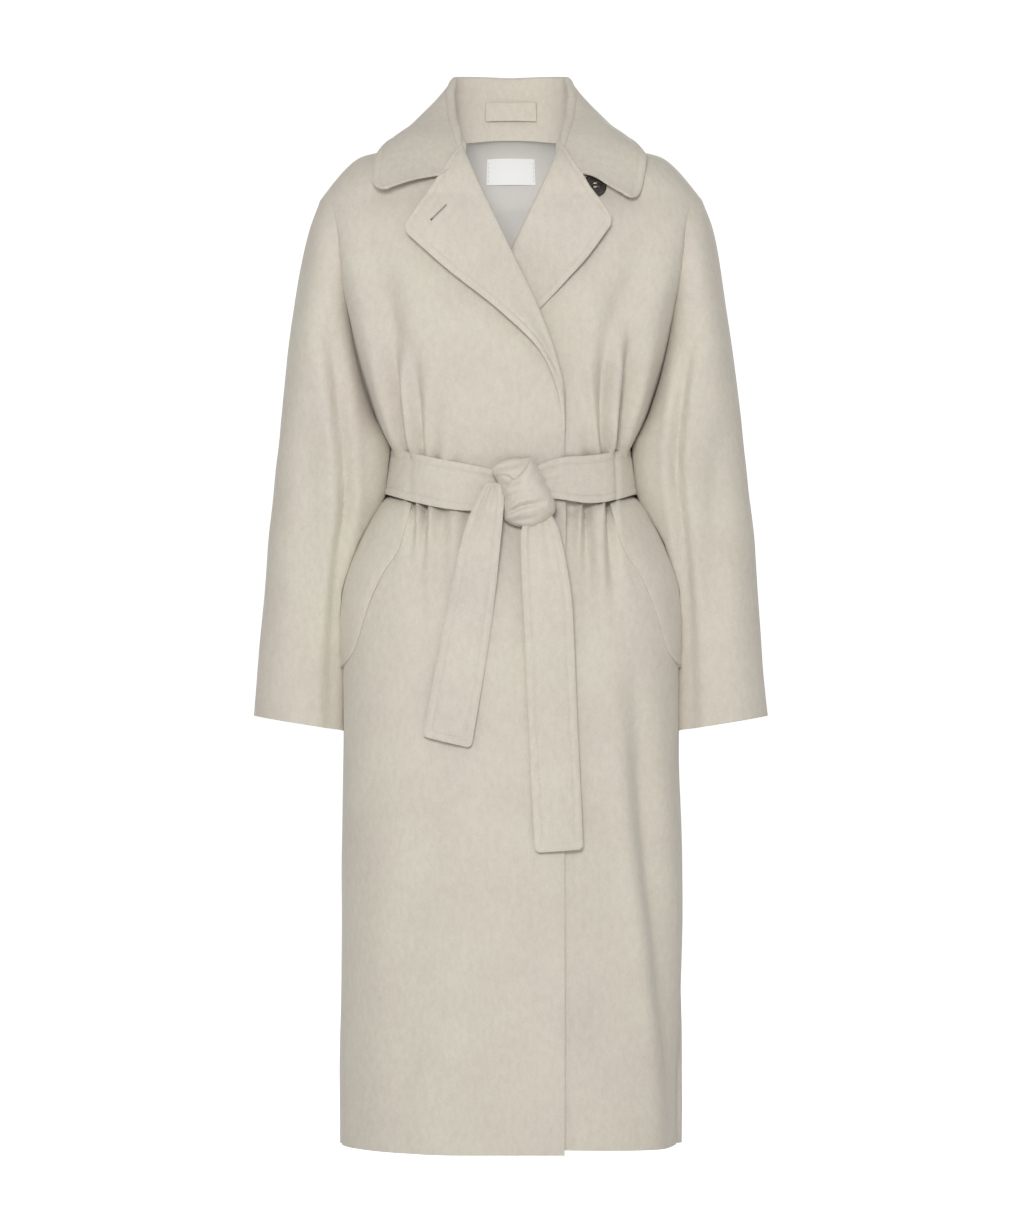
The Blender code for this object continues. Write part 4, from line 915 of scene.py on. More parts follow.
def edge_distance(grid, first_row=False, last_row=False, first_column=False, last_column=False):
    """Least distance, along the grid's own lines, from each point to the named edges."""
    down = np.linalg.norm(np.diff(grid, axis=0), axis=-1)
    over = np.linalg.norm(np.diff(grid, axis=1), axis=-1)
    from_top = np.concatenate([np.zeros((1, grid.shape[1])), np.cumsum(down, axis=0)])
    from_left = np.concatenate([np.zeros((grid.shape[0], 1)), np.cumsum(over, axis=1)], axis=1)
    found = [
        far for far, wanted in (
            (from_top, first_row), (from_top[-1:] - from_top, last_row),
            (from_left, first_column), (from_left[:, -1:] - from_left, last_column),
        ) if wanted
    ]
    return np.minimum.reduce(found)


def stitched_edge(grid, normals, **edges):
    """A grid drawn in along its edge stitches, exp(-((d - inset)/w)^2), and a little fuller outside them."""
    inset, deep = sizes().stitch_inset / MM, sizes().groove / MM
    away = edge_distance(grid, **edges)
    drawn = bell((away - inset) / DRAWN_WIDTH)
    full = FULL_RISE * bell((away - inset / 2) / (inset / FULL_SPREAD))
    thin = THIN_DROP * bell(away / THIN_WIDTH)
    return grid + normals * (deep * (full - drawn - thin))[..., None]


def inset_line(grid, normals, inset):
    """Points and directions at a set distance in from a grid's last column, one for each row."""
    away = edge_distance(grid, last_column=True)
    column = np.clip((away > inset).sum(axis=1) - 1, 0, grid.shape[1] - 2)
    row = np.arange(len(grid))
    near, far = away[row, column], away[row, column + 1]
    part = np.clip((near - inset) / np.maximum(near - far, 1e-9), 0, 1)[:, None]
    points = grid[row, column] * (1 - part) + grid[row, column + 1] * part
    return points, unit(normals[row, column] * (1 - part) + normals[row, column + 1] * part)


def put(name, data):
    """An object in the scene."""
    made = bpy.data.objects.new(name, data)
    bpy.context.scene.collection.objects.link(made)
    return made


def make_mesh(name, points, faces, finish):
    """One smooth object from points in millimetres, riding on the coat with its finish."""
    mesh = bpy.data.meshes.new(name)
    mesh.from_pydata((points * MM).tolist(), [], faces if isinstance(faces, list) else faces.tolist())
    mesh.materials.append(finish)
    mesh.shade_smooth()
    made = put(name, mesh)
    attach(made, "root")
    return made


def thicken(made, wall, edge_round):
    """A wall set inwards from a sheet, with its cut edges rounded."""
    solid = made.modifiers.new("wall", "SOLIDIFY")
    solid.thickness = wall
    solid.offset = -1
    solid.use_rim = True
    soft = made.modifiers.new("edge", "BEVEL")
    soft.width = edge_round
    soft.segments = RIM_SEGMENTS
    soft.limit_method = "ANGLE"
    soft.angle_limit = RIM_ANGLE
    soft.use_clamp_overlap = True


def sheet_mesh(name, grid, outward, wall, finish):
    """A sheet from a grid of outer points, its middle facing outward, with a wall set inwards."""
    quads = quads_of(grid.shape, flip=faces_out(grid_cross(grid), outward))
    made = make_mesh(name, grid.reshape(-1, 3), quads, finish)
    thicken(made, wall, min(sizes().edge_round, wall * EDGE_SHARE))
    return made


def thin_rows(made, shape, shares):
    """Let a sheet's wall grow thinner along its rows: each row keeps its share of the wall."""
    group = made.vertex_groups.new(name="wall")
    for row, share in enumerate(shares):
        group.add(list(range(row * shape[1], (row + 1) * shape[1])), float(share), "REPLACE")
    made.modifiers["wall"].vertex_group = group.name


def closed_mesh(name, grid, finish):
    """A closed body from rings of points: the last column joins the first, end rings are single points."""
    rings, sides = grid.shape[0], grid.shape[1] - 1
    points = np.concatenate([grid[:1, 0], grid[1:-1, :-1].reshape(-1, 3), grid[-1:, 0]])
    number = 1 + np.arange((rings - 2) * sides).reshape(rings - 2, sides)
    after = np.roll(number, -1, axis=1)
    body = np.stack([number[:-1], number[1:], after[1:], after[:-1]], -1).reshape(-1, 4)
    top = np.stack([np.zeros(sides, int), number[0], after[0]], -1)
    bottom = np.stack([np.full(sides, len(points) - 1), after[-1], number[-1]], -1)
    return make_mesh(name, points, body.tolist() + top.tolist() + bottom.tolist(), finish)


def front_y(across, height, side):
    """Depth of a front's outer face at a place seen from the front: the level is found from the sag, and
    above the shoulder level the share of the shoulder seam is found from the quarter round."""
    across, height = np.broadcast_arrays(np.asarray(across, float), np.asarray(height, float))
    level = height
    for _ in range(SAG_ROUNDS):
        level = height + sag(across, level, "front")
    low = np.minimum(level, SHOULDER_LEVEL)
    depth = body_depth(across, low, "front")
    if side == LEFT:
        depth = depth + underlap(across, low)
    share = np.clip(front_shoulder_share(across), 0, 1)
    inner = -EDGE.at("past", SHOULDER_LEVEL)
    outer = SLEEVE.at("outer", SHOULDER_LEVEL)
    for _ in range(SHARE_ROUNDS):
        top = shoulder_top(share)
        turn = np.arccos(np.clip(1 - (top[..., 2] - height) / (top[..., 2] - SHOULDER_LEVEL), 0, 1))
        blend = (turn / QUARTER) ** SHOULDER_SPREAD
        run = (SHOULDER_HALF - NECK_HALF) * (1 - blend) + (outer - inner) * blend
        share = np.clip((across - NECK_HALF * (1 - blend) - inner * blend) / run, 0, 1)
    low_y = body_depth(inner + (outer - inner) * share, np.float64(SHOULDER_LEVEL), "front")
    over = top[..., 1] + (low_y - top[..., 1]) * np.sin(turn)
    above = smooth_step(SHOULDER_LEVEL - SHOULDER_BLEND, SHOULDER_LEVEL + SHOULDER_BLEND, height)
    return over * above + depth * (1 - above)


def on_front(across, height, side):
    """A front's outer points at places seen from the front, and directions square to it from its slopes."""

    def slope(step_x, step_z):
        after = front_y(across + step_x, height + step_z, side)
        return (after - front_y(across - step_x, height - step_z, side)) / (2 * SLOPE_STEP)

    slope_x, slope_z = slope(SLOPE_STEP, 0), slope(0, SLOPE_STEP)
    out = unit(stack(slope_x, -np.ones_like(slope_x), slope_z))
    return stack(across, front_y(across, height, side), height), out


def rounded(share, span, round_share, round_span):
    """Spans drawn in near the first rows, so that the sheet's outer corner is round."""
    part = np.clip(1 - share / round_share, 0, 1)
    drawn = (1 - np.sqrt(1 - CORNER_ARC * part**2)) / (1 - np.sqrt(1 - CORNER_ARC))
    return span * (1 - round_span * drawn)


def crowd_ends(count, power=END_CROWDING):
    """Steps from 0 to 1 that lie closer together at both ends."""
    part = np.linspace(-1, 1, count)
    return 0.5 + 0.5 * np.sign(part) * (1 - (1 - np.abs(part)) ** power)


def panel_parts(side, face):
    """The grids of one panel with how far each point is moved out: body, upper sleeve, lower sleeve."""
    levels = np.concatenate([UPPER_LEVELS, skirt_levels()[1:]])
    angles = front_angles(levels, side) if face == "front" else back_angles()[None, :]
    body = with_shoulder(body_points(angles, levels, side, face), face)
    upper = with_shoulder(sleeve_points(UPPER_LEVELS, face), face)
    lower = sleeve_points(SLEEVE_LEVELS, face)
    parts = []
    for grid, rows, creases in (
        (body, levels, BODY_CREASES),
        (upper, UPPER_LEVELS, SLEEVE_CREASES),
        (lower, SLEEVE_LEVELS, SLEEVE_CREASES),
    ):
        press = crease_press(creases[side, face], np.abs(grid[..., 0]), with_rows(grid, rows))
        parts.append((place(grid, side), press))
    return parts


def draw_back(points, normals, quads, gap):
    """Points with the border moved into the sheet by the gap, square to the border."""
    edges = np.concatenate([quads[:, [k, (k + 1) % 4]] for k in range(4)])
    count = len(points)
    codes, reverse = edges[:, 0] * count + edges[:, 1], edges[:, 1] * count + edges[:, 0]
    edges = edges[~np.isin(codes, reverse)]
    inward = unit(np.cross(normals[edges].mean(axis=1), points[edges[:, 1]] - points[edges[:, 0]]))
    shift = np.zeros_like(points)
    for end in range(2):
        np.add.at(shift, edges[:, end], inward)
    return points + unit(shift) * gap * (np.linalg.norm(shift, axis=1) > 1e-6)[:, None]


def main_panels(wanted):
    """Fronts and backs: all panels' points are welded, moved out by creases and waves along shared
    directions, and each wanted panel is drawn back a little from its seams."""
    points, presses, quads, owners = [], [], [], []
    start = 0
    for name, (side, face) in PANELS.items():
        for grid, press in panel_parts(side, face):
            points.append(grid.reshape(-1, 3))
            presses.append(press.reshape(-1))
            quads.append(quads_of(grid.shape, start, flip=(side == RIGHT) == (face == "front")))
            owners += [name] * len(quads[-1])
            start += len(points[-1])
    points, presses, quads = np.concatenate(points), np.concatenate(presses), np.concatenate(quads)
    first, number = weld(points)
    number = number.reshape(-1)
    press = np.bincount(number, weights=presses) / np.bincount(number)
    points, quads = points[first], number[quads]
    normals = point_normals(points, quads)
    low = smooth_step(*UNEVEN_HEIGHTS, points[:, 2])
    free = 1 - bell((points[:, 2] - BELT_LEVEL) / UNEVEN_CALM)
    points = points + normals * (press + unevenness(points) * low * free)[:, None]
    normals = point_normals(points, quads)
    made = {}
    for name in wanted:
        own = quads[np.array(owners) == name]
        used, local = np.unique(own, return_inverse=True)
        local = local.reshape(own.shape)
        outer = draw_back(points[used], normals[used], local, SEAM_GAP / 2)
        made[name] = make_mesh(name + "_cloth", outer, plain_faces(local), wool())
        thicken(made[name], sizes().cloth, min(sizes().edge_round, sizes().cloth * PANEL_EDGE_SHARE))
        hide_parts(name)
    return made


def lapel_grid(side):
    """A turned-back front: half round the fold line of the front's edge, then out to the lapel's own edge."""
    share = crowd_ends(LAPEL_ROWS, LAPEL_CROWDING)[:, None]
    height = LAPEL_TOP + (LAPEL_BREAK[side] - LAPEL_TOP) * share
    past = EDGE.at("past", height) - LAPEL_END_IN * smooth_step(*LAPEL_THINS, share)
    slope = (EDGE.at("past", height + EDGE_STEP) - EDGE.at("past", height - EDGE_STEP)) / (2 * EDGE_STEP)
    square = np.stack([np.ones_like(slope), slope], -1) / np.sqrt(1 + slope**2)[..., None]
    cloth = sizes().cloth / MM
    ended = smooth_step(*LAPEL_THINS, share)
    folded = sizes().folded / MM * (1 - LAPEL_THIN * ended)
    radius = (folded + cloth / 2 + LAY_GAP) * (1 - LAPEL_THIN * ended)
    fold_x, fold_z = -past + square[..., 0] * radius, height + square[..., 1] * radius
    centre, lift = on_front(fold_x, fold_z, side)
    top_rise = LAPEL_TOP_RISE * (1 - smooth_step(0, LAPEL_TOP_SHARE, share))
    centre = centre + lift * (top_rise - cloth / 2)[..., None]
    aside = np.concatenate([square[..., :1], 0 * square[..., :1], square[..., 1:]], -1)
    turn = np.pi * np.linspace(1, ROLL_END, ROLL_COLUMNS)[None, :, None]
    roll = centre + radius[..., None] * (lift * np.cos(turn) - aside * np.sin(turn))
    outline = LAPEL_OUTLINE[side]
    edge_x, edge_z = -outline.at("across", share), outline.at("level", share)
    spans = np.linspace(0, 1, LAPEL_COLUMNS)[None, :]
    span = rounded(share, spans, LAPEL_TIP_SHARE, LAPEL_TIP_ROUND)
    leaf_x, leaf_z = fold_x + (edge_x - fold_x) * span, fold_z + (edge_z - fold_z) * span
    base, out = on_front(leaf_x, leaf_z, side)
    settled = smooth_step(*LAPEL_LIFT_END[side], share)
    stand = LAPEL_GAP * (1 - ended) + folded + top_rise * (1 - span)
    stand = stand + LAPEL_LIFT * smooth_step(0, 1, span) * (1 - settled)
    return place(np.concatenate([roll, base + out * stand[..., None]], axis=1), side)


def neck_line(station):
    """The seam of the neck: back neck curve, then down the fronts' inner edge."""
    share = np.sin(np.clip(station / COLLAR_SHOULDER, 0, 1) * QUARTER)
    back = back_top(BACK_NECK_COLUMN * share)
    step = np.clip((station - COLLAR_SHOULDER) / (1 - COLLAR_SHOULDER), 0, 1) * COLLAR_FRONT_STEP
    inner = -EDGE.at("past", SHOULDER_LEVEL)
    low = stack(inner, body_depth(inner, np.float64(SHOULDER_LEVEL), "front"), SHOULDER_LEVEL)
    front = over_shoulder(shoulder_top(0 * step), low, step)
    return np.where((station <= COLLAR_SHOULDER)[..., None], back, front)


def collar_lines(station):
    """The collar's fold line and outer edge, and the level direction from one to the other."""
    roll = stack(*(COLLAR.at(name, station) for name in ("roll_x", "roll_y", "roll_z")))
    edge = stack(*(COLLAR.at(name, station) for name in ("edge_x", "edge_y", "edge_z")))
    return roll, edge, unit((edge - roll) * np.array([1, 1, 0]))


def collar_stand(station):
    """Foot and head of the stand's inner face, and the level direction out of the neck."""
    roll, _, away = collar_lines(station)
    foot = neck_line(station) - away * sizes().folded / MM / 2
    to_front = smooth_step(COLLAR_SHOULDER, COLLAR_TIP_START, station)
    foot[:, 2] += LAY_GAP + SEAM_GAP + COLLAR_FRONT_RISE * to_front
    head = roll - np.array([0, 0, COLLAR_ROLL]) - away * COLLAR_ROLL
    return foot, head, away


def collar_half(side):
    """Half of the collar from the middle back: straight up the stand, half round the fold, down the fall."""
    station = 1 - (1 - np.linspace(0, 1, COLLAR_STATIONS)) ** COLLAR_CROWDING
    roll, edge, away = collar_lines(station)
    edge += np.array(COLLAR_TIP_SHIFT[side]) * smooth_step(COLLAR_TIP_START, 1, station)[:, None]
    up = np.array([0, 0, 1.0])
    settling = smooth_step(COLLAR_SETTLES, 1, station)[:, None]
    radius = COLLAR_ROLL * (1 - COLLAR_SETTLE_SHARE * settling)
    centre = roll - up * COLLAR_ROLL + away * (COLLAR_ROLL - radius) * COLLAR_SETTLE_OUT
    foot = collar_stand(station)[0]
    head = centre - away * radius
    foot = foot + (head - foot) * COLLAR_SETTLE_SHARE * settling
    foot[:, 2] -= STAND_LOW * (1 - smooth_step(COLLAR_SHOULDER, COLLAR_TIP_START, station))
    rise = np.linspace(0, 1, COLLAR_STAND_COLUMNS)[None, :-1, None]
    stand = foot[:, None] + (head - foot)[:, None] * rise
    line = bell((rise - STAND_LINE_RISE) / STAND_LINE_WIDTH)
    stand = stand + away[:, None] * line * STAND_LINE_DEPTH * sizes().groove / MM
    turn = np.pi * np.linspace(1, 0, COLLAR_ROLL_COLUMNS)[None, :, None]
    over = centre[:, None] + radius[:, None] * (away[:, None] * np.cos(turn) + up * np.sin(turn))
    begin = centre + away * radius
    fall_span = np.linspace(0, 1, COLLAR_FALL_COLUMNS + 1)[None, 1:]
    fall_span = rounded(1 - station[:, None], fall_span, COLLAR_TIP_SHARE, COLLAR_TIP_ROUND)[..., None]
    along = np.gradient(edge, station, axis=0)
    square = unit(np.cross(along, edge - begin))
    square *= np.sign((square * (away + up)).sum(axis=1))[:, None]
    ending = smooth_step(COLLAR_TIP_START, 1, station)[:, None, None]
    bulge = COLLAR_BULGE * np.sin(np.pi * fall_span) * (1 + COLLAR_END_BULGE * ending)
    fall = begin[:, None] + (edge - begin)[:, None] * fall_span + square[:, None] * bulge
    drop = COLLAR_END_DROP[side].at("drop", fall_span) * ending
    fall = fall + (COLLAR_DROP_SLOPE * np.array(FORWARD) - up) * drop
    return place(np.concatenate([stand, over, fall], axis=1), side)


def collar_grid():
    """Stand and fall in one sheet from the right front end round the back to the left one."""
    return np.concatenate([collar_half(RIGHT)[::-1], collar_half(LEFT)[1:]])


def belt_ring(share, band):
    """A point of the belt's outer face: share of a full turn from the front, and band from edge to edge."""
    turn = 2 * np.pi * share
    grow = BELT_FLARE * band
    across = (BELT_HALF + grow) * np.sin(turn)
    foot = BODY.at("fold_front", BELT_LEVEL)
    front = arch(across, BELT_HALF + grow, -(BELT_FRONT + grow), foot)
    back = arch(across, BELT_HALF + grow, BELT_BACK + grow, foot)
    facing_front = np.cos(turn) >= 0
    pinch = 1 - BELT_PINCH * bell((across - KNOT_PLACE[0]) / BELT_PINCH_REACH) * facing_front
    middle = BELT_LEVEL - np.where(facing_front, BELT_SAG * (1 - (across / BELT_HALF) ** 2).clip(0), 0)
    raised = BELT_RAISED * bell((across - BELT_RAISED_AT) / BELT_RAISED_REACH)
    middle = middle + np.where(facing_front, raised, 0)
    return stack(across, np.where(facing_front, front, back), middle - pinch * band * BELT_WIDTH / 2)


def belt_grid():
    """The band round the waist, open behind the knot, with pleats that fade away from the knot."""
    middle = np.arcsin(KNOT_PLACE[0] / BELT_HALF) / (2 * np.pi)
    open_half = BELT_KNOT_GAP / (2 * np.pi * BELT_HALF) / 2
    share = np.linspace(middle + open_half, 1 + middle - open_half, BELT_STEPS + 1)[:, None]
    band = np.linspace(-1, 1, BELT_BANDS + 1)[None, :]
    grid = belt_ring(share, band)
    normals = belt_outward(grid)
    across, in_front = grid[..., 0], grid[..., 1] < 0
    pleats = bells(band, BELT_PLEATS) * bell((across - KNOT_PLACE[0]) / BELT_PLEAT_REACH)
    ripple = sum(high * np.sin(across / run + slant * band) for high, run, slant in BELT_RIPPLES)
    return grid + normals * (ripple - (pleats + bells(across, BELT_BENDS)) * in_front)[..., None]


def belt_outward(grid):
    """Directions square to the belt's face, away from the waist."""
    normals = grid_cross(grid)
    return normals * np.sign((normals[..., :2] * grid[..., :2]).sum(axis=-1))[..., None]


def knot_outline(turn):
    """Distance from the knot's middle to its outline in each direction, with softened corners."""
    around = np.arctan2(KNOT_OUTLINE[:, 1], KNOT_OUTLINE[:, 0])
    away = np.linalg.norm(KNOT_OUTLINE, axis=1)
    size = sum(
        bell(step) * np.interp(turn + step * KNOT_SOFTENING, around, away, period=2 * np.pi)
        for step in KNOT_SPREAD
    )
    return size / bell(KNOT_SPREAD).sum()


def knot_grid():
    """The half knot: rings from the middle of its back round its rim to the middle of its front. The depth is
    deep (1 - ring^p)^(1/p), with creases, and the upper loop lies below the wrap along their common edge."""
    turn = np.linspace(0, 2 * np.pi, KNOT_SIDES + 1)[None, :]
    sweep = np.pi * np.linspace(0, 1, KNOT_RINGS + 1)[:, None]
    ring = np.sin(sweep)
    size = ring * knot_outline(turn)
    across, rise = size * np.cos(turn), size * np.sin(turn)
    dome = np.clip(1 - ring**KNOT_POWER, 0, 1) ** (1 / KNOT_POWER) + 0 * turn
    lap = rise - KNOT_LAP.at("rise", across)
    lower = KNOT_LAP_DEPTH * smooth_step(-KNOT_LAP_RUN / 2, KNOT_LAP_RUN / 2, lap)
    relief = crease_press(KNOT_CREASES, rise, across, KNOT_CREASE_END) - lower
    relief = relief * smooth_step(0, KNOT_RELIEF_FULL, dome)
    depth = np.maximum(KNOT_DEPTH * dome + relief, KNOT_LEAST * dome)
    depth = np.where(sweep > QUARTER, depth, -KNOT_BACK * dome)
    seat = -BELT_FRONT - BELT_FLARE - SEAM_GAP
    return stack(KNOT_PLACE[0] + across, seat - depth, KNOT_PLACE[1] + rise)


def belt_end_grid(name):
    """A hanging belt end that lies on the fronts, pleated and standing off where it leaves the knot."""
    table = BELT_ENDS[name]
    top, bottom = table.rows[-1, 0], table.rows[0, 0]
    share = crowd_ends(BELT_END_ROWS + 1)[:, None]
    span = np.linspace(-1, 1, BELT_END_COLUMNS + 1)[None, :]
    level = top + (bottom - top) * share
    corner = rounded(1 - share, span, BELT_CORNER_SHARE, BELT_CORNER_ROUND)
    across = table.at("middle", level) + table.at("half", level) * corner
    height = level + BELT_END_SLANT[name] * span / 2 * share
    base, out = on_front(-across, height, RIGHT)
    lifted = BELT_END_STAND[name] * (1 - smooth_step(*BELT_END_SETTLES, share))
    stand = LAY_GAP + sizes().belt / MM + BELT_END_CROWN * (1 - span**2)
    lifted = lifted + BELT_END_OFF * smooth_step(BELT_END_OFF_FROM, 1, share)
    pleats = bells(span, BELT_END_PLEATS) * (1 - smooth_step(0, BELT_END_PLEATS_END, share))
    high, run, slant = BELT_END_WAVE
    waves = high * np.sin(run * share + slant * span) * share
    stand = stand - pleats + np.maximum(waves, BELT_END_WAVE_LEAST)
    return place(base + out * stand[..., None] + np.array(FORWARD) * lifted[..., None], RIGHT)


def welt_grid(side):
    """A slanted leaf on a front, from its tucked-in seam to its free edge at the side."""
    level = np.linspace(WELT_TOP, WELT_BOTTOM, WELT_ROWS + 1)
    seam = np.arcsin(WELT_SEAM.at("across", level) / BODY.at("reach", level))[:, None]
    share = np.linspace(0, 1, WELT_ROWS + 1)[:, None]
    span = np.linspace(0, 1, WELT_COLUMNS + 1)[None, :]
    angle = seam + (WELT_TURN - seam) * span
    base = body_points(angle, level, side, "front")
    along, down = (
        body_points(angle + turn, level - drop, side, "front")
        - body_points(angle - turn, level + drop, side, "front")
        for turn, drop in ((WELT_STEP, 0), (0, WELT_STEP))
    )
    out = unit(np.cross(down, along))
    cloth = sizes().cloth / MM
    bulge = WELT_BULGE * np.sin(np.pi * share) * smooth_step(0, 1, span)
    press = crease_press(BODY_CREASES[side, "front"], base[..., 0], level[:, None])
    stand = LAY_GAP + cloth * smooth_step(-WELT_TUCK, WELT_TUCK, span) + bulge + np.maximum(press, 0)
    return place(base + out * stand[..., None], side)


def back_inside(angles, levels, side, inset):
    """The back's inner face, set in from its outer face, with the shoulder rows."""
    grid = with_shoulder(body_points(angles[None, :], levels, side, "back"), "back")
    press = crease_press(BODY_CREASES[side, "back"], np.abs(grid[..., 0]), with_rows(grid, levels))
    return place(grid - (inset - np.minimum(press, 0))[..., None] * grid_cross(grid), side)


def both_sides(right, left):
    """Two halves with a shared middle column as one grid."""
    return np.concatenate([right[:, ::-1], left[:, 1:]], axis=1)


def lining_grid():
    """The half lining inside the upper back, a little full between its seams."""
    levels = UPPER_LEVELS[UPPER_LEVELS >= LINING_BOTTOM]
    half = np.arcsin(LINING_HALF / BODY.at("reach", SHOULDER_LEVEL))
    angles = np.linspace(0, half, LINING_COLUMNS // 2 + 1)
    inset = sizes().cloth / MM + LAY_GAP
    grid = both_sides(*(back_inside(angles, levels, side, inset)[1:] for side in (RIGHT, LEFT)))
    (deep, run), (sway, sway_run) = LINING_FOLD, LINING_WANDER
    fold = deep * np.abs(np.sin(grid[..., 0] / run + sway * np.sin(grid[..., 2] / sway_run)))
    return grid - np.array(BACKWARD) * (fold * smooth_step(*LINING_FOLD_HEIGHTS, grid[..., 2]))[..., None]


def read_along(where, places, values):
    """Rows of values, read between the places that they stand for."""
    return np.stack([np.interp(where, places, column) for column in values.T], -1)


def label_grid():
    """The blank label on the lining, bent as the lining is, read from the back's inner face by height."""
    across = np.linspace(0, LABEL_HALF, LABEL_COLUMNS // 2 + 1)
    angles = np.arcsin(across / BODY.at("reach", SHOULDER_LEVEL))
    inset = (sizes().cloth + sizes().lining) / MM + 2 * LAY_GAP
    grid = both_sides(*(back_inside(angles, UPPER_LEVELS, side, inset) for side in (RIGHT, LEFT)))
    heights = grid[:, LABEL_COLUMNS // 2, 2]
    wanted = np.linspace(LABEL_TOP, LABEL_BOTTOM, LABEL_ROWS + 1)
    patch = read_along(-wanted, -heights, grid.reshape(len(grid), -1)).reshape(LABEL_ROWS + 1, -1, 3)
    full = LABEL_FULL * np.sin(np.pi * np.linspace(0, 1, patch.shape[1]))[None, :, None]
    return patch - np.array(BACKWARD) * (LABEL_CLOTH + full)


def loop_grid():
    """The stitched cloth bar on the inside of the collar's stand, a little full between its ends."""
    station = np.linspace(0, 1, LOOP_COLUMNS // 2 + 1) * LOOP_STATION
    rise = np.linspace(*LOOP_RISE, LOOP_ROWS + 1)[None, :, None]
    foot, head, away = collar_stand(station)
    full = LOOP_FULL * (1 - (station / LOOP_STATION) ** 4)[:, None, None]
    out = 2 * LAY_GAP + LOOP_CLOTH + full
    half = foot[:, None] + (head - foot)[:, None] * rise - away[:, None] * out
    return np.concatenate([place(half, RIGHT)[::-1], half[1:]])


def button_frame():
    """The button's seat on the left front, its outward direction, and two directions in its face."""
    base, out = on_front(np.float64(BUTTON_PLACE[0]), np.float64(BUTTON_PLACE[1]), LEFT)
    aside = unit(np.cross(out, np.array([0, 0, 1.0])))
    return base, out, aside, np.cross(aside, out)


def button_holes():
    """Places of the four thread holes in the button's face."""
    turn = np.pi / 4 + np.arange(4) * QUARTER
    return BUTTON_HOLE_AWAY * np.stack([np.cos(turn), np.sin(turn)], -1)


def button_grid():
    """A turned disc: flat back, round edge, a raised rim, a dished face with four wells for the thread."""
    base, out, aside, up = button_frame()
    place_on = np.linspace(0, 1, BUTTON_RINGS + 1)
    radius, rise = (np.interp(place_on, *zip(*profile)) for profile in (BUTTON_RADII, BUTTON_RISES))
    turn = np.linspace(0, 2 * np.pi, BUTTON_SIDES + 1)
    flat = (radius * BUTTON_RADIUS)[:, None, None] * np.stack([np.cos(turn), np.sin(turn)], -1)[None]
    away = np.linalg.norm(flat[:, :, None] - button_holes()[None, None], axis=-1)
    well = np.exp(-((away / BUTTON_HOLE_RADIUS) ** 4)).sum(axis=-1) * (place_on > BUTTON_FACE_FROM)[:, None]
    height = (rise * BUTTON_THICK)[:, None] + BUTTON_SEAT - BUTTON_HOLE_DEPTH * well
    return base + out * height[..., None] + aside * flat[..., :1] + up * flat[..., 1:]


def bars(name, starts, ends, normals, radius, bow, finish, slot):
    """Short rounded threads: each runs from its start to its end, bows out along its direction and tapers."""
    part = np.linspace(0, 1, THREAD_STEPS)[None, :, None]
    line = starts[:, None] + (ends - starts)[:, None] * part + normals[:, None] * bow * np.sin(np.pi * part)
    along = unit(ends - starts)
    aside = unit(np.cross(along, normals))
    turn = 2 * np.pi * np.arange(THREAD_SIDES) / THREAD_SIDES
    ring = aside[:, None, None] * np.cos(turn)[:, None] + normals[:, None, None] * np.sin(turn)[:, None]
    taper = (THREAD_TAPER + (1 - THREAD_TAPER) * np.sqrt(np.clip(np.sin(np.pi * part), 0, 1)))[..., None]
    points = (line[:, :, None] + ring * radius * taper).reshape(-1, 3)
    number = np.arange(len(points)).reshape(len(starts), THREAD_STEPS, THREAD_SIDES)
    after = np.roll(number, -1, axis=2)
    tube = np.stack([number[:, :-1], after[:, :-1], after[:, 1:], number[:, 1:]], -1).reshape(-1, 4)
    caps = np.concatenate([number[:, 0, ::-1], number[:, -1]])
    return make_mesh(name, points, tube.tolist() + caps.tolist(), finish)


def stitch_places(points, normals):
    """Starts, ends and directions of evenly spaced stitches along a line of points."""
    length = np.concatenate([[0], np.cumsum(np.linalg.norm(np.diff(points, axis=0), axis=1))])
    pitch, stitch = sizes().stitch_pitch / MM, sizes().stitch / MM
    at = np.arange(pitch, length[-1] - pitch, pitch)
    starts, ends = (read_along(at + shift, length, points) for shift in (-stitch / 2, stitch / 2))
    return starts, ends, unit(read_along(at, length, normals))


def sew(name, runs):
    """One object of all stitches along several lines on a piece."""
    parts = [stitch_places(*run) for run in runs]
    starts, ends, normals = (np.concatenate([part[k] for part in parts]) for k in range(3))
    radius = sizes().thread / MM
    finish = cloth_finish("sewing_thread")
    return bars(name, starts, ends, normals, radius, radius * THREAD_BOW, finish, "wool")


def edge_runs(grid, normals, inset, rows=slice(None)):
    """A stitch line along a grid's last column."""
    points, outward = inset_line(grid, normals, inset)
    return points[rows], outward[rows]


def side_runs(grid, normals, inset, rows=slice(None)):
    """Stitch lines along a grid's last and first columns."""
    return [edge_runs(grid, normals, inset, rows), edge_runs(grid[:, ::-1], normals[:, ::-1], inset, rows)]


def turned(grid):
    """A grid with its rows and columns exchanged."""
    return np.swapaxes(grid, 0, 1)


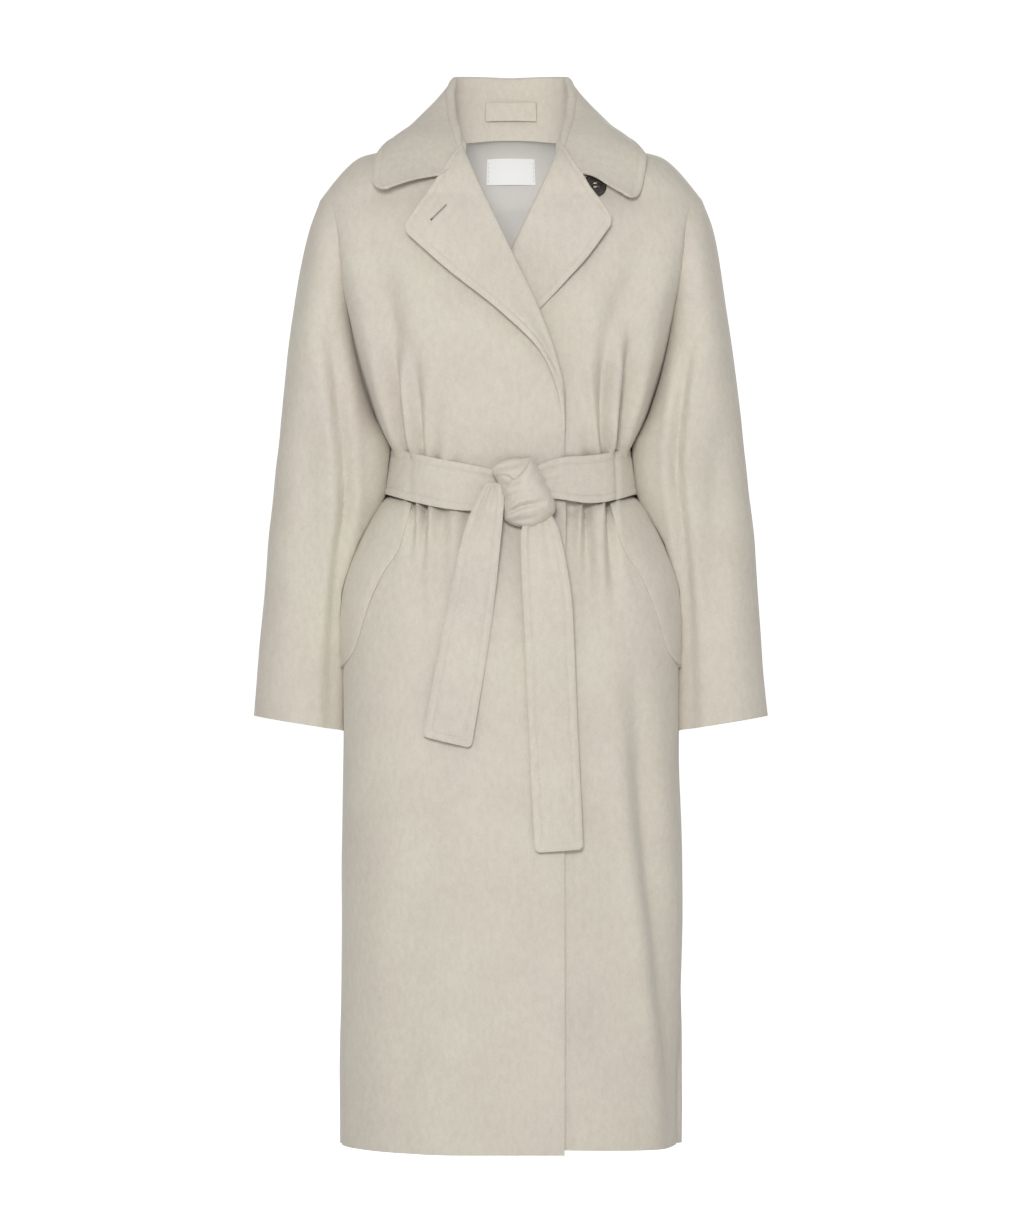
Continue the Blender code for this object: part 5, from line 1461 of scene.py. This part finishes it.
def buttonhole_line():
    """Points along the buttonhole on the right lapel, each weighed from the nearest points of the lapel seen
    from the front, with the outward direction and the direction along the hole."""
    grid = lapel_grid(RIGHT)[:, ROLL_COLUMNS:]
    normals = grid_normals(grid, FORWARD).reshape(-1, 3)
    low, high = (np.array(end) for end in BUTTONHOLE_ENDS)
    seen = grid[..., [0, 2]].reshape(-1, 2)
    share = np.linspace(0, 1, BUTTONHOLE_STEPS)[:, None]
    wanted = low + (high - low) * share
    weight = np.exp(-(((seen[None] - wanted[:, None]) ** 2).sum(axis=-1)) / BUTTONHOLE_BLEND)
    weight /= weight.sum(axis=1, keepdims=True)
    points = weight @ grid.reshape(-1, 3)
    points[:, [0, 2]] = wanted
    out = unit(weight @ normals)
    return points, out, unit(np.gradient(points, axis=0))


def buttonhole_rim():
    """Starts, ends and directions of the close stitches round the slit: straight sides and two round ends."""
    points, out, along = buttonhole_line()
    length = np.linalg.norm(points[-1] - points[0])
    around = length * 2 + 2 * np.pi * BUTTONHOLE_SLIT
    step = np.arange(BUTTONHOLE_STITCHES) / BUTTONHOLE_STITCHES * around
    half = around / 2
    on_side = np.minimum(step % half, length) / length
    bend = np.clip((step % half - length) / BUTTONHOLE_SLIT, 0, np.pi)
    second = step >= half
    on_side = np.where(second, 1 - on_side, on_side)
    sign = np.where(second, -1.0, 1.0)
    read = on_side * (BUTTONHOLE_STEPS - 1)
    base, up = (read_along(read, np.arange(BUTTONHOLE_STEPS), values) for values in (points, out))
    up = unit(up)
    way = along[BUTTONHOLE_STEPS // 2]
    side = unit(np.cross(up, way))
    spoke = sign[:, None] * (side * np.cos(bend)[:, None] + way * np.sin(bend)[:, None])
    opening = BUTTONHOLE_SLIT + BUTTONHOLE_EYE * bell(on_side / BUTTONHOLE_EYE_RUN)
    return base + spoke * opening[:, None], base + spoke * (opening + BUTTONHOLE_RIM)[:, None], up


def slit_grid():
    """The slit as a thin lens of painted shade on the lapel, with a round eye at its lower end: a near-black
    sheet where the cut opening lies in shade.
    """
    points, out, along = buttonhole_line()
    side = np.cross(out, along)
    share = np.linspace(-1, 1, BUTTONHOLE_STEPS)
    eye = bell((share + 1) / 2 / BUTTONHOLE_EYE_RUN - SLIT_EYE_AT)
    half = BUTTONHOLE_SLIT * np.sqrt(np.clip(1 - share**4, 0.02, 1)) + BUTTONHOLE_EYE * eye
    span = np.linspace(-1, 1, SLIT_COLUMNS)
    return (points + out * SLIT_LIFT)[:, None] + side[:, None] * (half[:, None] * span)[..., None]


def fill(made, **values):
    """A node with its inputs or properties set. An underscore stands for a space in an input's name."""
    for key, value in values.items():
        label = key.replace("_", " ")
        if label in made.inputs:
            made.inputs[label].default_value = value
        else:
            setattr(made, key, value)
    return made


def node(tree, kind, place_x, place_y, **values):
    """A shader node at a place, with its settings."""
    made = tree.nodes.new(kind)
    made.location = (place_x, place_y)
    return fill(made, **values)


def wire(tree, *links):
    """Links of a node tree, each from a node's output to a node's input."""
    for source, output, target, entry in links:
        tree.links.new(source.outputs[output], target.inputs[entry])


def new_finish(name):
    """A new material, its node tree and its main shader."""
    made = bpy.data.materials.new(name)
    made.use_nodes = True
    return made, made.node_tree, made.node_tree.nodes["Principled BSDF"]


def nap_group():
    """Node group of brushed cloth: fibres drawn out downwards, mottling, a drift of hue, and their height."""
    known = bpy.data.node_groups.get("brushed_cloth")
    if known:
        return known
    group = bpy.data.node_groups.new("brushed_cloth", "ShaderNodeTree")
    for name, kind, default in (
        ("Colour", "NodeSocketColor", (0.6, 0.6, 0.6, 1)),
        ("Deep Colour", "NodeSocketColor", (0.5, 0.5, 0.5, 1)),
        ("Fibres", "NodeSocketFloat", 900.0),
        ("Drawn Out", "NodeSocketFloat", 0.4),
        ("Mottling", "NodeSocketFloat", 0.3),
    ):
        group.interface.new_socket(name=name, in_out="INPUT", socket_type=kind).default_value = default
    for name, kind in (("Colour", "NodeSocketColor"), ("Height", "NodeSocketFloat")):
        group.interface.new_socket(name=name, in_out="OUTPUT", socket_type=kind)
    given = node(group, "NodeGroupInput", -1100, 0)
    result = node(group, "NodeGroupOutput", 700, 0)
    coords = node(group, "ShaderNodeTexCoord", -1100, -300)
    drawn = node(group, "ShaderNodeCombineXYZ", -900, -200, X=1.0, Y=1.0)
    stretched = node(group, "ShaderNodeVectorMath", -700, -200, operation="MULTIPLY")
    fibres = node(group, "ShaderNodeTexNoise", -480, 0, Detail=4.0, Roughness=0.62, Distortion=0.5)
    tufts = node(group, "ShaderNodeTexNoise", -480, -260, Scale=160.0, Detail=3.0, Roughness=0.55)
    patches = node(group, "ShaderNodeTexNoise", -480, -520, Scale=14.0, Detail=3.0, Roughness=0.5)
    drift = node(group, "ShaderNodeTexNoise", -220, -620, Scale=7.0, Detail=2.0)
    height = node(group, "ShaderNodeMix", -220, 0, data_type="FLOAT", Factor=0.4)
    shade = node(group, "ShaderNodeMapRange", 0, 0, From_Min=0.22, From_Max=0.62)
    centred = node(group, "ShaderNodeMath", -220, -400, operation="SUBTRACT")
    centred.inputs[1].default_value = 0.5
    mottle = node(group, "ShaderNodeMath", 0, -300, operation="MULTIPLY")
    total = node(group, "ShaderNodeMath", 200, -100, operation="ADD", use_clamp=True)
    colour = node(group, "ShaderNodeMix", 420, 100, data_type="RGBA")
    turn = node(group, "ShaderNodeMapRange", 200, -420,
                From_Min=0.3, From_Max=0.7, To_Min=0.486, To_Max=0.514)
    hue = node(group, "ShaderNodeHueSaturation", 560, 0)
    wire(
        group,
        (given, "Drawn Out", drawn, "Z"), (coords, "Object", stretched, 0), (drawn, 0, stretched, 1),
        (stretched, 0, fibres, "Vector"), (stretched, 0, tufts, "Vector"),
        (coords, "Object", patches, "Vector"), (coords, "Object", drift, "Vector"),
        (given, "Fibres", fibres, "Scale"), (fibres, "Fac", height, 2), (tufts, "Fac", height, 3),
        (height, 0, shade, "Value"), (patches, "Fac", centred, 0), (centred, 0, mottle, 0),
        (given, "Mottling", mottle, 1), (shade, 0, total, 0), (mottle, 0, total, 1), (total, 0, colour, 0),
        (given, "Deep Colour", colour, 6), (given, "Colour", colour, 7),
        (drift, "Fac", turn, "Value"), (turn, 0, hue, "Hue"), (colour, 2, hue, "Color"),
        (hue, 0, result, "Colour"), (height, 0, result, "Height"),
    )
    return group


def cloth_finish(name):
    """A cloth material: the brushed cloth group gives its colour and its bump, sheen lies on top."""
    known = bpy.data.materials.get(name)
    if known:
        return known
    colour, share, deep, deep_share, fibres, drawn_out, mottling, bump, roughness, sheen = CLOTHS[name]
    made, tree, shader = new_finish(name)
    fill(shader, Roughness=roughness, Sheen_Weight=sheen, Sheen_Roughness=0.45,
         Sheen_Tint=(1.0, 0.97, 0.92, 1), Specular_IOR_Level=0.2)
    grain = node(tree, "ShaderNodeGroup", -500, 200, node_tree=nap_group())
    fill(grain, Colour=shaded(colour, share), Deep_Colour=shaded(deep, deep_share), Fibres=fibres,
         Drawn_Out=drawn_out, Mottling=mottling)
    relief = node(tree, "ShaderNodeBump", -250, -150, Strength=bump, Distance=0.0012)
    wire(tree, (grain, "Colour", shader, "Base Color"), (grain, "Height", relief, "Height"),
         (relief, "Normal", shader, "Normal"))
    return made


def wool():
    """The coat's own cloth."""
    return cloth_finish("felted_wool")


def button_resin():
    """Polished dark resin with faint cloudy streaks under a clear coat."""
    made, tree, shader = new_finish("button_resin_shown")
    fill(shader, Coat_Weight=0.6, Coat_Roughness=0.08)
    coords = node(tree, "ShaderNodeTexCoord", -900, 0)
    clouds = node(tree, "ShaderNodeTexNoise", -700, 0, Scale=180.0, Detail=4.0, Distortion=1.2)
    tint = node(tree, "ShaderNodeValToRGB", -450, 100)
    for stop, share in zip(tint.color_ramp.elements, (1.0, BUTTON_STREAK)):
        stop.color = shaded("button", share)
    gloss = node(tree, "ShaderNodeMapRange", -450, -200, To_Min=0.18, To_Max=0.34)
    wire(tree, (coords, "Object", clouds, "Vector"), (clouds, "Fac", tint, "Fac"),
         (clouds, "Fac", gloss, "Value"), (tint, "Color", shader, "Base Color"),
         (gloss, 0, shader, "Roughness"))
    return made


def floor_finish(stage):
    """A pale matt floor that gives off a little light, and is itself seen brighter."""
    made, tree, shader = new_finish("pale_floor")
    fill(shader, Base_Color=(0.75, 0.75, 0.75, 1), Roughness=0.95, Emission_Color=(1, 1, 1, 1))
    rays = node(tree, "ShaderNodeLightPath", -500, -200)
    glow = node(tree, "ShaderNodeMapRange", -250, -200,
                To_Min=stage.backdrop_glow, To_Max=stage.backdrop_white)
    wire(tree, (rays, "Is Camera Ray", glow, "Value"), (glow, 0, shader, "Emission Strength"))
    return made


def floor_mesh(stage):
    """A round floor that bends up, by a quarter circle, into an upright backdrop."""
    turn = np.linspace(0, 2 * np.pi, FLOOR_SIDES + 1)[None, :]
    bend = np.linspace(0, QUARTER, BEND_STEPS + 1)[1:]
    radius = np.concatenate([FLOOR_RINGS, stage.around + BEND_RADIUS * (np.sin(bend) - 1), [stage.around]])
    rise = np.concatenate([np.zeros(len(FLOOR_RINGS)), BEND_RADIUS * (1 - np.cos(bend)), [BACKDROP_HEIGHT]])
    radius, rise = radius[:, None], rise[:, None]
    grid = stack(radius * np.cos(turn), radius * np.sin(turn), rise + stage.floor)
    mesh = bpy.data.meshes.new("floor")
    mesh.from_pydata(grid.reshape(-1, 3).tolist(), [], quads_of(grid.shape).tolist())
    mesh.materials.append(floor_finish(stage))
    mesh.shade_smooth()
    return mesh


def aim(thing, spot, target):
    """Put a light or camera in its place and turn it towards a point."""
    thing.location = spot
    thing.rotation_euler = (Vector(target) - thing.location).to_track_quat("-Z", "Y").to_euler()


def show(name, grid, outward, wall, finish="felted_wool"):
    """The cloth of one piece, shown in place of its solid."""
    made = sheet_mesh(name + "_cloth", grid, outward, wall, cloth_finish(finish))
    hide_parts(name)
    return made


class COAT_OT_fronts(Operator):
    """Make both fronts, each cut in one with its half of the sleeve"""

    bl_idname = "coat.fronts"
    bl_label = "Fronts"

    def execute(self, context):
        made = main_panels(("front_right", "front_left"))
        return {"FINISHED"}


class COAT_OT_backs(Operator):
    """Make both back halves, each cut in one with its half of the sleeve"""

    bl_idname = "coat.backs"
    bl_label = "Backs"

    def execute(self, context):
        made = main_panels(("back_right", "back_left"))
        return {"FINISHED"}


class COAT_OT_lapels(Operator):
    """Make both lapels with their edge stitches"""

    bl_idname = "coat.lapels"
    bl_label = "Lapels"

    def execute(self, context):
        inset = sizes().stitch_inset / MM
        ended = smooth_step(*LAPEL_THINS, crowd_ends(LAPEL_ROWS, LAPEL_CROWDING))
        for name, side in (("lapel_right", RIGHT), ("lapel_left", LEFT)):
            grid = lapel_grid(side)
            normals = grid_normals(grid, FORWARD)
            grid = stitched_edge(grid, normals, first_row=True, last_column=True)
            made = show(name, grid, FORWARD, sizes().folded)
            thin_rows(made, grid.shape, 1 - LAPEL_WALL_THIN * ended)
            first = int(np.argmax(edge_distance(grid, first_row=True)[:, -1] > inset))
            last = int(np.argmin(edge_distance(grid, last_column=True)[0] > inset))
            runs = [
                edge_runs(grid, normals, inset, slice(first, int(LAPEL_STITCHED * LAPEL_ROWS))),
                edge_runs(turned(grid[::-1]), turned(normals[::-1]), inset, slice(ROLL_COLUMNS + 2, last)),
            ]
            sewn = sew(name + "_stitches", runs)
        return {"FINISHED"}


class COAT_OT_collar(Operator):
    """Make the collar, its stand and fall, with its edge stitches"""

    bl_idname = "coat.collar"
    bl_label = "Collar"

    def execute(self, context):
        grid = collar_grid()
        normals = grid_normals(grid, UPWARD)
        grid = stitched_edge(grid, normals, last_column=True)
        made = show("collar", grid, UPWARD, sizes().folded)
        sewn = sew("collar_stitches", [edge_runs(grid, normals, sizes().stitch_inset / MM)])
        return {"FINISHED"}


class COAT_OT_belt(Operator):
    """Make the tied belt: band, knot and both hanging ends, with their edge stitches"""

    bl_idname = "coat.belt"
    bl_label = "Belt"

    def execute(self, context):
        inset = sizes().stitch_inset / MM
        band = belt_grid()
        outward = belt_outward(band)
        band = stitched_edge(band, outward, first_column=True, last_column=True)
        made = show("belt_band", band, BACKWARD, sizes().belt)
        sewn = sew("belt_band_stitches", side_runs(band, outward, inset))
        knot = closed_mesh("belt_knot_cloth", knot_grid(), wool())
        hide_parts("belt_knot")
        for name in BELT_ENDS:
            grid = belt_end_grid(name)
            normals = grid_normals(grid, FORWARD)
            grid = stitched_edge(grid, normals, first_column=True, last_column=True, last_row=True)
            made = show(name, grid, FORWARD, sizes().belt)
            rows = slice(0, int(np.argmax(edge_distance(grid, last_row=True)[:, 0] < inset)))
            runs = side_runs(grid, normals, inset, rows)
            low = int(np.argmax(edge_distance(grid, first_column=True)[-1] > inset))
            runs.append(edge_runs(turned(grid), turned(normals), inset, slice(low, -low)))
            sew(name + "_stitches", runs)
        return {"FINISHED"}


class COAT_OT_pockets(Operator):
    """Make both slanted pocket welts"""

    bl_idname = "coat.pockets"
    bl_label = "Pocket welts"

    def execute(self, context):
        for name, side in (("pocket_welt_right", RIGHT), ("pocket_welt_left", LEFT)):
            grid = welt_grid(side)
            normals = grid_normals(grid, FORWARD)
            grid = stitched_edge(grid, normals, last_row=True, last_column=True)
            made = show(name, grid, FORWARD, sizes().cloth)
        return {"FINISHED"}


class COAT_OT_inside(Operator):
    """Make the back lining, the blank label and the hanger loop"""

    bl_idname = "coat.inside"
    bl_label = "Inside pieces"

    def execute(self, context):
        made = show("back_lining", lining_grid(), BACKWARD, sizes().lining, "lining_satin")
        grid = label_grid()
        made = show("label", grid, FORWARD, LABEL_CLOTH * MM, "label_weave")
        sewn = sew("label_stitches", side_runs(grid, grid_normals(grid, FORWARD), LABEL_STITCH_IN))
        grid = loop_grid()
        made = show("hanger_loop", grid, FORWARD, LOOP_CLOTH * MM)
        outward = turned(grid_normals(grid, FORWARD))
        sewn = sew("hanger_loop_stitches", side_runs(turned(grid), outward, LOOP_STITCH_IN))
        return {"FINISHED"}


class COAT_OT_button(Operator):
    """Make the button with its thread, and the worked buttonhole in the right lapel"""

    bl_idname = "coat.button"
    bl_label = "Button and buttonhole"

    def execute(self, context):
        made = closed_mesh("button_disc", button_grid(), button_resin())
        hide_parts("button")
        base, out, aside, up = button_frame()
        face = base + out * (BUTTON_FACE * BUTTON_THICK + BUTTON_SEAT + BUTTON_THREAD_LIFT)
        holes = button_holes()[np.array(BUTTON_HOLE_PAIRS)][:, None]
        flat = holes + np.array([0, 1]) * BUTTON_THREADS[:, None, None]
        places = (face + aside * flat[..., :1] + up * flat[..., 1:]).reshape(-1, 2, 3)
        outward = np.repeat(out[None], len(places), axis=0)
        sewing = cloth_finish("sewing_thread")
        bars("button_thread", places[:, 0], places[:, 1], outward, *BUTTON_THREAD, sewing, "wool")
        bars("buttonhole_stitches", *buttonhole_rim(), *BUTTONHOLE_THREAD, sewing, "wool")
        # The slit's opening is painted shade: a near-black sheet laid just above the lapel
        shade = cloth_finish("buttonhole_shade")
        sheet_mesh("buttonhole_slit", slit_grid(), FORWARD, SLIT_WALL * MM, shade)
        return {"FINISHED"}


class COAT_OT_stage(Operator):
    """Make the floor with its round backdrop, the light and the camera"""

    bl_idname = "coat.stage"
    bl_label = "Stage"

    def execute(self, context):
        scene, stage = context.scene, context.scene.coat_stage
        put("floor", floor_mesh(stage))
        world = bpy.data.worlds.new("studio")
        world.use_nodes = True
        fill(world.node_tree.nodes["Background"], Color=(1, 1, 1, 1), Strength=stage.sky)
        scene.world = world
        scene.view_settings.view_transform = "Standard"
        for name, (power, spot, target, size) in LIGHTS.items():
            data = bpy.data.lights.new(name, "AREA")
            data.energy = getattr(stage, power)
            data.shape = "DISK"
            data.size = size
            light = put(name, data)
            light.visible_camera = False
            aim(light, spot, target)
        data = bpy.data.cameras.new("camera")
        data.sensor_fit = "VERTICAL"
        data.sensor_height = SENSOR
        data.lens = SENSOR * stage.distance / (VIEW_ROWS * stage.pixel)
        scene.camera = put("camera", data)
        aim(scene.camera, (stage.pixel, -stage.distance, VIEW_HEIGHT), (stage.pixel, 0, VIEW_HEIGHT))
        return {"FINISHED"}


OPERATORS = (
    COAT_OT_fronts, COAT_OT_backs, COAT_OT_lapels, COAT_OT_collar, COAT_OT_belt, COAT_OT_pockets,
    COAT_OT_inside, COAT_OT_button, COAT_OT_stage,
)


class COAT_PT_pieces(Panel):
    """The coat's pieces in the sidebar"""

    bl_idname = "COAT_PT_pieces"
    bl_label = "Belted Wool Coat"
    bl_space_type = "VIEW_3D"
    bl_region_type = "UI"
    bl_category = "Coat"

    def draw(self, context):
        for group in (context.scene.coat_sizes, context.scene.coat_colours, context.scene.coat_stage):
            box = self.layout.box()
            for name in group.__annotations__:
                box.prop(group, name)
        for operator in OPERATORS:
            self.layout.operator(operator.bl_idname)


GROUPS = (("coat_sizes", CoatSizes), ("coat_colours", CoatColours), ("coat_stage", CoatStage))


def register():
    for name, group in GROUPS:
        bpy.utils.register_class(group)
        setattr(bpy.types.Scene, name, PointerProperty(type=group))
    for kind in (*OPERATORS, COAT_PT_pieces):
        bpy.utils.register_class(kind)


def unregister():
    for kind in reversed((*OPERATORS, COAT_PT_pieces)):
        bpy.utils.unregister_class(kind)
    for name, group in reversed(GROUPS):
        delattr(bpy.types.Scene, name)
        bpy.utils.unregister_class(group)


def main():
    register()
    bpy.ops.coat.fronts()
    bpy.ops.coat.backs()
    bpy.ops.coat.lapels()
    bpy.ops.coat.collar()
    bpy.ops.coat.belt()
    bpy.ops.coat.pockets()
    bpy.ops.coat.inside()
    bpy.ops.coat.button()
    bpy.ops.coat.stage()


if __name__ == "__main__":
    main()
